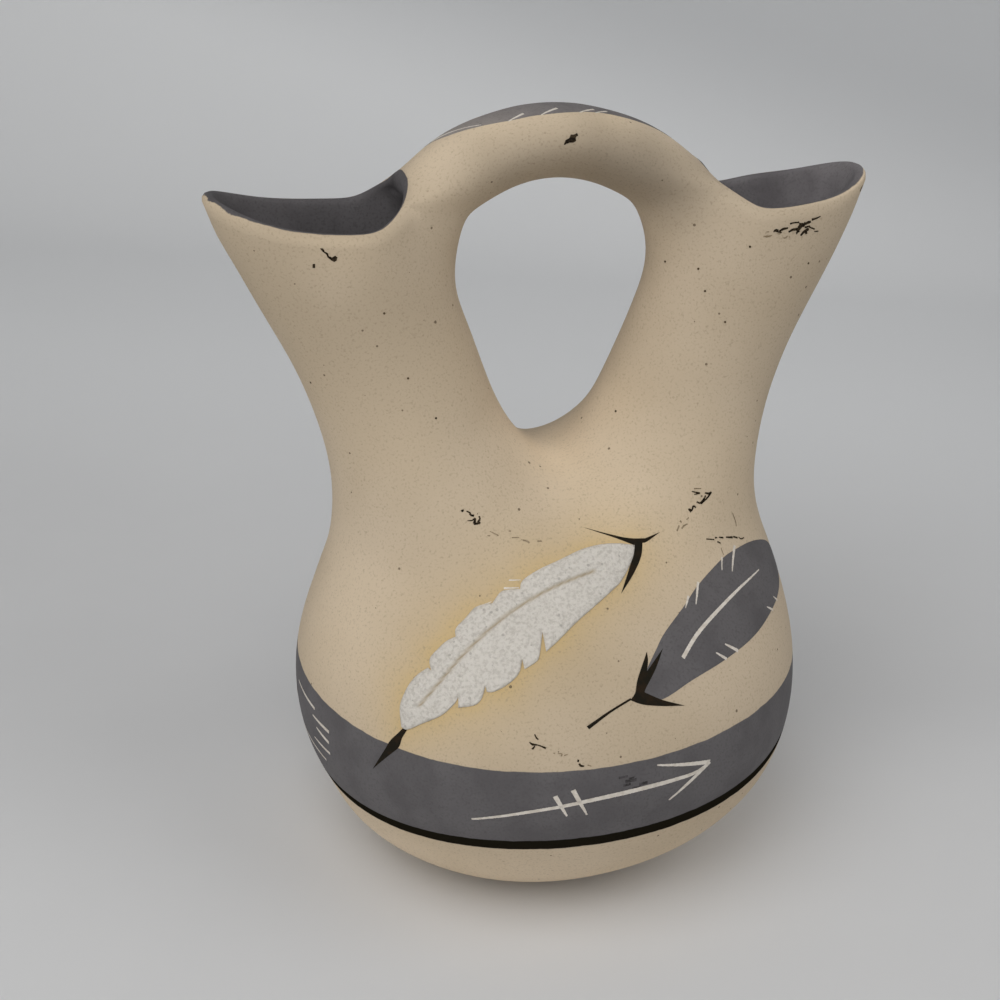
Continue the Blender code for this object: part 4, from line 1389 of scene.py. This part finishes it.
FAINT_SCUFFS = (
    (RIGHT_TIP_EDGE, (((-0.9, 0.2, 0.7), (0.8, 0.3, 0.8)), ((-0.6, -0.6, 0.5), (0.6, -0.4, 0.6)))),
    (RIGHT_SPOUT_PLACE, (
        ((-7.5, -1.6, 0.15), (-6.5, -1.7, 0.4), (-5.4, -1.5, 0.15)),
        ((-2.3, -2.3, 0.15), (-1.6, -2.3, 0.25), (-1.2, -1.8, 0.15)),
        ((-4.1, -1.1, 0.15), (-3.2, -1.2, 0.2)),
        ((-0.7, -2.3, 0.25), (-0.5, -2.1, 0.25)),
        ((-6.9, -0.6, 0.1), (-6.1, -0.5, 0.15)),
    )),
    (LEFT_NECK_PLACE, (
        ((4.4, -3.6, 0.15), (5.6, -4.3, 0.25), (6.4, -4.8, 0.25)),
        ((3.7, -4.6, 0.2), (4.3, -4.7, 0.2)),
        ((9.1, -3.8, 0.35), (9.6, -3.9, 0.3)),
        ((9.7, -5.5, 0.15), (11.5, -5.6, 0.2)),
        ((12.0, -6.2, 0.15), (13.1, -6.5, 0.35), (14.0, -7.1, 0.35)),
        ((16.0, -6.8, 0.2), (17.2, -6.9, 0.25)),
    )),
    (RIGHT_NECK_PLACE, (
        ((-1.0, 4.0, 0.2), (1.0, 3.6, 0.2)),
        ((-6.6, -3.3, 0.4), (-6.2, -3.8, 0.35)),
        ((-8.0, -5.6, 0.3), (-7.1, -4.4, 0.4)),
        ((-6.6, -5.3, 0.3), (-5.6, -4.7, 0.35), (-4.6, -4.5, 0.2)),
        ((-4.6, -3.4, 0.3), (-3.9, -3.0, 0.25)),
        ((5.0, -12.8, 0.12), (5.2, -14.6, 0.15)),
        ((11.4, -4.9, 0.1), (12.4, -7.4, 0.25), (12.5, -8.8, 0.15)),
    )),
    (BELLY_PLACE, (
        ((4.2, -2.0, 0.15), (4.7, -2.1, 0.2)),
        ((5.3, -2.1, 0.15), (6.3, -2.2, 0.25), (6.2, -2.8, 0.25)),
        ((6.9, -2.6, 0.15), (7.7, -2.3, 0.2)),
        ((12.5, -4.9, 0.1), (13.5, -5.2, 0.2)),
    )),
)
BAND_SMUDGES = (
    (BAND_PLACE, (
        ((-2.4, 1.5, 0.5), (-0.1, 1.6, 0.5)),
        ((-0.7, 0.2, 0.7), (2.2, 0.3, 0.7)),
        ((-1.2, -0.8, 0.6), (0.7, -0.7, 0.6)),
        ((3.0, -1.3, 0.7), (5.2, -1.1, 0.7)),
        ((1.2, -2.0, 0.5), (3.6, -2.1, 0.6)),
        ((0.2, 0.9, 0.3), (1.6, 1.0, 0.4)),
    )),
)

# The largest pinholes, as places on the skin in millimetres
PINHOLES = (
    (-46.0, -19.0, 159.7), (-62.9, -8.3, 139.9), (-40.5, -19.0, 142.9), (-33.9, -19.8, 132.3),
    (15.4, -10.1, 126.4), (28.0, -7.6, 164.4), (34.6, -14.5, 164.0), (36.1, -16.1, 158.6),
    (41.0, -18.4, 150.9), (46.2, -19.2, 170.1), (62.9, -17.3, 164.4),
)
PINHOLE_RADIUS = 0.30
SCUFF_WEIGHT = 1.15

# Surface of the raised feather, in millimetres
EDGE_HEIGHT = 0.30
PLUMP_HEIGHT = 0.55
PLUMP_REACH = 0.7
LUMP_HEIGHT = 0.20
LUMP_REACH = 0.5
LUMP_SCALE = 0.75
SMALL_LUMP_SCALE = 1.7
SMALL_LUMP_SHARE = 0.6
GROOVE_DEPTH = 0.85
GROOVE_REACH = 0.34
LEAST_HEIGHT = 0.06


def straight(start, end, width):
    """A scratch that starts fine and widens to its end."""
    middle = tuple((a + b) / 2 for a, b in zip(start, end))
    return stroke([start, middle, end], [share * width for share in SCRATCH_TAPER])


def lump(x, y):
    large = noise.noise((x * LUMP_SCALE, y * LUMP_SCALE, 0.0))
    return large + SMALL_LUMP_SHARE * noise.noise((x * SMALL_LUMP_SCALE, y * SMALL_LUMP_SCALE, 5.0))


def in_groove(points):
    """Share of the groove's depth at each point."""
    return np.exp(-((line_distance(points, GROOVE) / GROOVE_REACH) ** 2))


def white_swell(points, border):
    """Height of the raised feather: plump edges, a lumpy surface and a groove along its quill."""
    from_edge = np.maximum(-border_distance(points, border), 0)
    lumps = np.array([lump(x, y) for x, y in points])
    plump = EDGE_HEIGHT + PLUMP_HEIGHT * (1 - np.exp(-from_edge / PLUMP_REACH))
    height = plump + LUMP_HEIGHT * lumps * (1 - np.exp(-from_edge / LUMP_REACH))
    return np.maximum(height * (1 - GROOVE_DEPTH * in_groove(points)), LEAST_HEIGHT)


def raised_feather():
    relief = Relief()
    relief.stamp(WHITE_PATCH, WHITE_OUTLINE, WHITE_SPACING, 0.0, white_swell)
    piece = relief.finish("white_feather_finish", white_slip(), "white_slip", shaded_as_skin=False)
    groove = in_groove(relief.drawn) * GROOVE_DEPTH
    add_values(piece.data, "groove", groove)
    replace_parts(piece, "white_feather")


def painted_motifs():
    """The grey feathers, the black ties and quills, and the lines that are scratched into the slip."""
    grey = Relief()
    grey.stamp(GREY_PATCH, GREY_OUTLINE, GREY_SPACING, PAINT_LIFT)
    grey.finish("grey_feather", grey_paint(), "grey_slip")
    thin = Relief()
    thin.stamp(HANDLE_PATCH, HANDLE_OUTLINE, HANDLE_SPACING, PAINT_LIFT)
    thin.finish("handle_feather", thin_grey_paint(), "grey_slip")
    black = Relief()
    for outline in (WHITE_QUILL, WHITE_TIE):
        black.stamp(WHITE_PATCH, outline, STROKE_SPACING, STROKE_LIFT)
    for outline in (GREY_TIE, GREY_STEM):
        black.stamp(GREY_PATCH, outline, STROKE_SPACING, STROKE_LIFT)
    black.finish("black_strokes", black_paint(), "grey_slip")
    pale = Relief()
    pale.stamp(GREY_PATCH, ragged(GREY_QUILL), STROKE_SPACING, STROKE_LIFT)
    scratches = (
        (WHITE_NICKS, WHITE_PATCH), (GREY_NICKS, GREY_PATCH), (HANDLE_NICKS, HANDLE_PATCH),
        (FLETCHES, FLETCH_PATCH), (BACK_ARROW, BACK_PATCH),
    )
    for nicks, patch in scratches:
        scratch(pale, patch, nicks)
    shaft = ragged(stroke(ARROW_SHAFT, ARROW_SHAFT_WIDTHS))
    pale.stamp(ARROW_PATCH, shaft, STROKE_SPACING, STROKE_LIFT)
    scratch(pale, ARROW_PATCH, ARROW_TICKS + ARROW_HEAD)
    pale.finish("scratched_lines", scratched_clay(), "cream_slip")


def scratch(relief, patch, nicks):
    """Straight scratches, each a start, an end and a width."""
    for start, end, width in nicks:
        relief.stamp(patch, ragged(straight(start, end, width)), STROKE_SPACING, STROKE_LIFT)


def local_patch(place):
    """A sheet that touches the skin at a place, with its sides level and uphill."""
    hit, normal, _, _ = skin_tree.find_nearest(Vector(place) * MM)
    patch = Patch(hit / MM, 0.0, 0.0, 0.0)
    patch.out = normal
    patch.along = UP.cross(normal).normalized()
    patch.across = normal.cross(patch.along)
    return patch


def ragged(outline):
    """The outline with an uneven edge."""
    points = []
    for x, y in dense(outline, RAGGED_SPACING):
        u, v = RAGGED_SCALE * x, RAGGED_SCALE * y
        aside = RAGGED_REACH * noise.noise((u, v, 1.0))
        rise = RAGGED_REACH * noise.noise((u, v, 9.0))
        points.append((x + aside, y + rise))
    return points


def scuffs():
    """Smears of small dark and faint strokes, and the largest pinholes."""
    groups = (
        ("dark_scuffs", DARK_SCUFFS, burnt_paint(), STROKE_LIFT),
        ("faint_scuffs", FAINT_SCUFFS, faint_paint(), STROKE_LIFT),
        ("band_smudges", BAND_SMUDGES, smudged_paint(), PAINT_LIFT),
    )
    for name, smears, material, lift in groups:
        relief = Relief()
        for place, strokes in smears:
            patch = local_patch(place)
            for points in strokes:
                outline = stroke([p[:2] for p in points], [p[2] * SCUFF_WEIGHT for p in points])
                relief.stamp(patch, ragged(outline), SCUFF_SPACING, lift)
        if smears is DARK_SCUFFS:
            for place, chip in ((HANDLE_PLACE, HANDLE_CHIP), (LEFT_SPOUT_PLACE, LEFT_CHIP)):
                relief.stamp(local_patch(place), ragged(list(chip)), SCUFF_SPACING, lift)
        relief.finish(name, material, "grey_slip")
    relief = Relief()
    angles = [i * math.pi / 4 for i in range(8)]
    circle = [(math.cos(t) * PINHOLE_RADIUS, math.sin(t) * PINHOLE_RADIUS) for t in angles]
    for place in PINHOLES:
        relief.stamp(local_patch(place), circle, SCUFF_SPACING, STROKE_LIFT)
    relief.finish("pinholes", pinhole_paint(), "cream_slip")


def paint_attributes(mesh):
    """Signed distances in millimetres, and shares, that the clay's material turns into paint and into painted
    light and shade.
    """
    count = len(mesh.vertices)
    points = np.empty(count * 3)
    mesh.vertices.foreach_get("co", points)
    points = points.reshape(-1, 3) / MM
    angles = np.arctan2(points[:, 0], -points[:, 1])
    height = points[:, 2]
    line_low = periodic(angles, *LINE_EDGE)
    band = np.minimum(periodic(angles, *BAND_EDGE) - height, height - line_low)
    line = np.minimum(line_low + LINE_WIDTH - height, height - line_low)
    away = points - np.array(WHITE_PATCH.origin)
    drawn = np.column_stack([away @ np.array(WHITE_PATCH.along), away @ np.array(WHITE_PATCH.across)])
    beside = np.maximum(border_distance(drawn, WHITE_OUTLINE), 0)
    shade = HALO_STRENGTH * np.exp(-beside / HALO_REACH)
    halo = np.where(away @ np.array(WHITE_PATCH.out) > HALO_BEHIND, shade, 0)
    worn = cloud(points, WORN_TIP, WORN_REACH)
    # Painted light and shade: brighter clay towards the foot, patches over the outside, and painted light
    # inside the right mouth
    rise = np.clip((height - FOOT_PAINTED_LIGHT_LOW) / (FOOT_PAINTED_LIGHT_HIGH - FOOT_PAINTED_LIGHT_LOW), 0, 1)
    outer_painted_light = with_painted_patches(FOOT_PAINTED_LIGHT * (1 - rise), points, PAINTED_LIGHT_AND_SHADE)
    inner_painted_light = with_painted_patches(np.zeros(count), points, MOUTH_PAINTED_LIGHT)
    depth = np.empty(count)
    mesh.attributes["inside"].data.foreach_get("value", depth)
    painted_light = np.where(depth > 1, inner_painted_light, outer_painted_light)
    values = {"band": band, "line": line, "halo": halo, "wear": 1 + WORN_WAVER * worn, "painted_light": painted_light}
    for name, value in values.items():
        add_values(mesh, name, value)


clay = painted_clay()
for name, mesh in vessel_meshes.items():
    paint_attributes(mesh)
    mesh.materials.append(clay)
    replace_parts(add_piece(name + "_finish", mesh), name)
raised_feather()
painted_motifs()
scuffs()

# Camera, at the photograph's viewing angle
CAMERA_PLACE = (-0.11749, -0.41227, 0.28149)
CAMERA_TURN = (66.9065, -0.1409, -14.2173)
CAMERA_LENS = 62.75
CAMERA_SENSOR = 36.0
CAMERA_NEAR = 0.01
CAMERA_FAR = 20.0

camera_data = bpy.data.cameras.new("camera")
camera_data.lens = CAMERA_LENS
camera_data.sensor_width = CAMERA_SENSOR
camera_data.clip_start = CAMERA_NEAR
camera_data.clip_end = CAMERA_FAR
camera = bpy.data.objects.new("camera", camera_data)
camera.location = CAMERA_PLACE
camera.rotation_euler = [math.radians(a) for a in CAMERA_TURN]
bpy.context.scene.collection.objects.link(camera)
bpy.context.scene.camera = camera

# Floor with a backdrop that curves up behind the vase, with painted light on the far floor and painted shade
# up the backdrop
FLOOR_PALE = (0.720, 0.722, 0.725, 1)
FLOOR_DEEP = (0.700, 0.702, 0.706, 1)
# Painted light on the far floor, and painted shade on the backdrop
FLOOR_FAR_PAINTED_LIGHT = (0.860, 0.868, 0.874, 1)
BACKDROP_PAINTED_SHADE = (0.615, 0.624, 0.634, 1)
FLOOR_HALF = 2.2
WALL_DISTANCE = 0.75
WALL_CURVE = 0.20
WALL_CURVE_STEPS = 12
WALL_HEIGHT = 1.5
BACKDROP_TURN = -27.0
BACKDROP_RISE = 4.0
BACKDROP_EDGE = (0.0, 0.5)
FLOOR_FAR_EDGE = (0.10, 0.40)


def stage_floor():
    """A pale cloth that lies flat under the vase and curves up behind it. Painted light brightens it far back,
    and painted shade darkens the backdrop upwards and to the right.
    """
    profile = [(-FLOOR_HALF, 0.0), (0.0, 0.0), (WALL_DISTANCE - WALL_CURVE, 0.0)]
    for i in range(1, WALL_CURVE_STEPS + 1):
        angle = math.pi / 2 * i / WALL_CURVE_STEPS
        back = WALL_DISTANCE - WALL_CURVE * (1 - math.sin(angle))
        profile.append((back, WALL_CURVE * (1 - math.cos(angle))))
    profile.append((WALL_DISTANCE, WALL_HEIGHT))
    vertices = [(side * FLOOR_HALF, y, z) for y, z in profile for side in (-1, 1)]
    faces = [(2 * i, 2 * i + 1, 2 * i + 3, 2 * i + 2) for i in range(len(profile) - 1)]
    mesh = bpy.data.meshes.new("floor")
    mesh.from_pydata(vertices, [], faces)
    for polygon in mesh.polygons:
        polygon.use_smooth = True
    g = Graph("floor_cloth", 0.9)
    cloth = g.mix(g.step(g.noise(9, 4), 0.3, 0.7), FLOOR_PALE, FLOOR_DEEP)
    # Painted shade up the backdrop and to the right, and painted light on the far floor
    spots = g.add("ShaderNodeSeparateXYZ", {"Vector": g.place})
    rise = g.math("MULTIPLY", spots.outputs["Z"], BACKDROP_RISE)
    backdrop = g.step(g.math("ADD", spots.outputs["X"], rise), *BACKDROP_EDGE)
    far = g.step(spots.outputs["Y"], *FLOOR_FAR_EDGE)
    cloth = g.mix(far, cloth, FLOOR_FAR_PAINTED_LIGHT)
    cloth = g.mix(g.math("MULTIPLY", backdrop, far), cloth, BACKDROP_PAINTED_SHADE)
    mesh.materials.append(g.finish(cloth))
    obj = bpy.data.objects.new("floor", mesh)
    obj.rotation_euler.z = math.radians(BACKDROP_TURN)
    bpy.context.scene.collection.objects.link(obj)


stage_floor()


def area_light(name, place, target, size, power):
    data = bpy.data.lights.new(name, "AREA")
    data.shape = "DISK"
    data.size = size
    data.energy = power
    obj = bpy.data.objects.new(name, data)
    obj.location = place
    obj.rotation_euler = (Vector(target) - Vector(place)).to_track_quat("-Z", "Y").to_euler()
    bpy.context.scene.collection.objects.link(obj)


# Soft studio lights: a place, a size and a power each
LIGHT_TARGET = (0, 0, 0.08)
LIGHTS = {
    "key": ((-0.45, -0.50, 1.00), 0.9, 4.3),
    "front_fill": ((-0.40, -0.85, 0.75), 0.9, 2.4),
    "left_fill": ((-1.00, -0.35, 0.30), 0.8, 1.7),
    "right_fill": ((0.75, -0.60, 0.80), 0.9, 2.9),
}
WORLD_STRENGTH = 0.20

for name, (place, size, power) in LIGHTS.items():
    area_light(name, place, LIGHT_TARGET, size, power)

world = bpy.data.worlds.new("studio")
world.use_nodes = True
background = world.node_tree.nodes["Background"]
background.inputs["Color"].default_value = (1, 1, 1, 1)
background.inputs["Strength"].default_value = WORLD_STRENGTH
bpy.context.scene.world = world
bpy.context.scene.view_settings.view_transform = "Standard"

bpy.context.view_layer.update()
